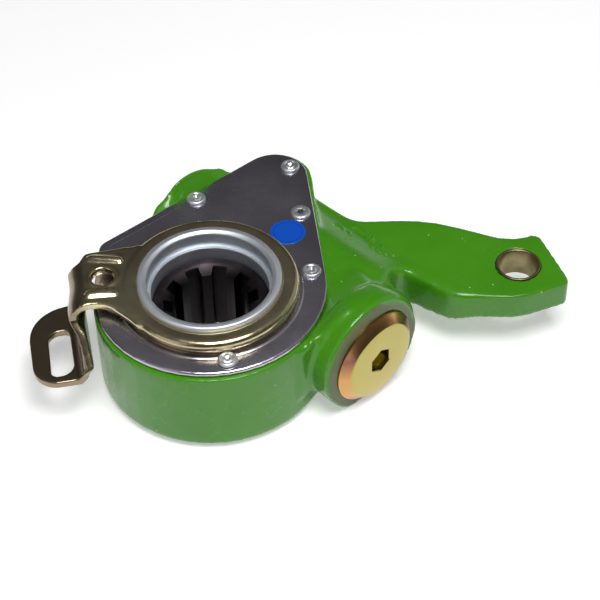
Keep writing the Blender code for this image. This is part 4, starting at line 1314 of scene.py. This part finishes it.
@dataclass
class Studio:
    """Floor, light and camera at the photograph's angle."""

    azimuth: float = -9.81
    elevation: float = 45.69
    roll: float = -1.41
    camera_at: tuple[float, float, float] = (-50.53 * MM, -500.56 * MM, 547.02 * MM)
    lens: float = 108.0
    floor_level: float = -2.2 * MM
    floor_colour: Colour = (0.86, 0.86, 0.86)
    floor_glow: float = 0.4
    sky: tuple[Point, ...] = ((0.0, 0.22), (0.2, 0.1), (0.5, 0.05), (0.97, 0.16))
    lamp_target: tuple[float, float, float] = (0.03, 0.0, 0.02)

    def build_camera(self) -> None:
        """Place the camera."""
        data = bpy.data.cameras.new("camera")
        data.lens = self.lens
        data.sensor_width = 36.0
        data.clip_start = 0.01
        camera = linked("camera", data)
        tilt = Euler((math.radians(90 - self.elevation), 0, math.radians(self.azimuth))).to_matrix()
        turn = tilt @ Matrix.Rotation(math.radians(self.roll), 3, "Z")
        camera.matrix_world = Matrix.Translation(self.camera_at) @ turn.to_4x4()
        bpy.context.scene.camera = camera

    def build_floor(self) -> None:
        """Lay a pale floor that keeps the shadow and reads as white."""
        bm = bmesh.new()
        bmesh.ops.create_grid(bm, x_segments=1, y_segments=1, size=4.0)
        bmesh.ops.translate(bm, verts=bm.verts, vec=(0, 0, self.floor_level))
        mesh = to_mesh("floor", bm)
        bench = NodeBench("floor_paper", Base_Color=self.floor_colour, Roughness=0.9,
                          Emission_Color=(1.0, 1.0, 1.0))
        path = bench.nodes.new("ShaderNodeLightPath").outputs
        seen = bench.math("MAXIMUM", path["Is Camera Ray"], path["Is Glossy Ray"])
        seen = bench.math("MAXIMUM", seen, path["Is Transmission Ray"])
        glow = bench.math("MULTIPLY", seen, self.floor_glow)
        bench.links.new(glow, bench.shader.inputs["Emission Strength"])
        mesh.materials.append(bench.material)
        linked("floor", mesh)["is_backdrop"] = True

    def build_world(self) -> None:
        """A studio that is pale near the floor and darker overhead."""
        world = bpy.data.worlds.new("studio")
        world.use_nodes = True
        bpy.context.scene.world = world
        nodes = world.node_tree.nodes
        links = world.node_tree.links
        place = nodes.new("ShaderNodeTexCoord")
        apart = nodes.new("ShaderNodeSeparateXYZ")
        links.new(place.outputs["Generated"], apart.inputs[0])
        ramp = nodes.new("ShaderNodeValToRGB")
        elements = ramp.color_ramp.elements
        elements.new(0.5)
        elements.new(0.75)
        for element, (position, level) in zip(elements, self.sky):
            element.position = position
            element.color = (level, level, level, 1.0)
        links.new(apart.outputs["Z"], ramp.inputs["Fac"])
        background = nodes["Background"]
        links.new(ramp.outputs["Color"], background.inputs["Color"])
        background.inputs["Strength"].default_value = 1.0

    def build_lamp(self, name: str, place: Vector, size: Point, power: float) -> None:
        """Hang a soft box that faces the adjuster.

        Args:
            name: The lamp's name.
            place: Where it hangs.
            size: Its width and height.
            power: Its power in watts.
        """
        data = bpy.data.lights.new(name, "AREA")
        data.shape = "RECTANGLE"
        data.size, data.size_y = size
        data.energy = power
        lamp = linked(name, data)
        lamp.location = place
        lamp.rotation_euler = (Vector(self.lamp_target) - place).to_track_quat("-Z", "Y").to_euler()

    def build(self) -> None:
        """Make the whole studio."""
        self.build_camera()
        self.build_floor()
        self.build_world()
        self.build_lamp("key", Vector((0.08, -0.3, 0.92)), (0.45, 0.4), 7.2)
        self.build_lamp("right", Vector((0.85, 0.25, 0.45)), (0.8, 0.8), 0.5)
        self.build_lamp("left", Vector((-0.75, -0.45, 0.4)), (0.6, 0.7), 0.8)
        bpy.context.scene.view_settings.view_transform = "Standard"


def corners() -> list[list[float]]:
    """The whole object's box as plain lists."""
    return [[float(c) for c in corner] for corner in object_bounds()]


def main() -> None:
    """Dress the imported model."""
    logging.basicConfig(level=logging.INFO, format="%(message)s")
    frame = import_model()
    shop = Workshop(frame["nodes"])
    axis = WormAxis()

    paint = Enamel(axis).build()
    plate_zinc = ZincPlate("plate_zinc", (0.5, 0.47, 0.55), (0.66, 0.62, 0.71), 0.19, 0.3, 0.3).build()
    sleeve_zinc = ZincPlate("sleeve_zinc", (0.74, 0.78, 0.84), (0.84, 0.87, 0.92), 0.46, 0.56, 0.2).build()
    head_zinc = ZincPlate("head_zinc", (0.70, 0.72, 0.76), (0.84, 0.85, 0.88), 0.40, 0.52, 0.2).build()
    arm_gold = YellowZinc("arm_gold").build()
    bronze = PlainSteel("bush_metal", (0.22, 0.18, 0.085), (0.34, 0.28, 0.15), 0.34).build()
    ground = PlainSteel("ground_steel", (0.34, 0.33, 0.33), (0.52, 0.51, 0.50), 0.3).build()
    black = PlainSteel("black_steel", (0.022, 0.016, 0.019), (0.05, 0.038, 0.044), 0.42, 0.8).build()
    # Painted shade: the wheel turns near black below its face, deep inside the sleeve.
    wheel_black = PlainSteel("oiled_wheel", (0.026, 0.021, 0.024), (0.052, 0.042, 0.047), 0.36, 0.9,
                             shaded_below=34.6 * MM).build()
    rubber = MattSheet("seal_rubber", (0.012, 0.012, 0.013), (0.03, 0.03, 0.032), 0.55).build()
    paper = MattSheet("gasket_paper", (0.02, 0.02, 0.02), (0.05, 0.048, 0.045), 0.8).build()

    cover = CoverSide(shop)
    housing = CastHousing(shop, axis)
    housing.build(paint, bronze, cover.edge_at())
    cover.build_plate(plate_zinc)
    cover.build_domes(head_zinc)
    # The gasket paper also blacks the screw's socket, as painted shade.
    cover.build_socket_screw(head_zinc, paper)
    cover.build_dot()
    CapSide(shop, axis).build()
    control = ControlSide(shop)
    control.build_sleeve(sleeve_zinc)
    control.build_washer(arm_gold)
    control.build_arm(arm_gold)

    dressed = {
        "worm_wheel": wheel_black, "worm_shaft": ground, "thrust_bearing": ground, "clutch_ring": ground,
        "pressure_spring": black, "arm_seal": rubber, "hub_seal": rubber, "journal_seal": rubber,
        "cap_seal": rubber, "journal_bearing": bronze, "cover_gasket": paper,
    }
    for node, finish in dressed.items():
        shop.dress(node, finish)

    Studio().build()


if __name__ == "__main__":
    main()
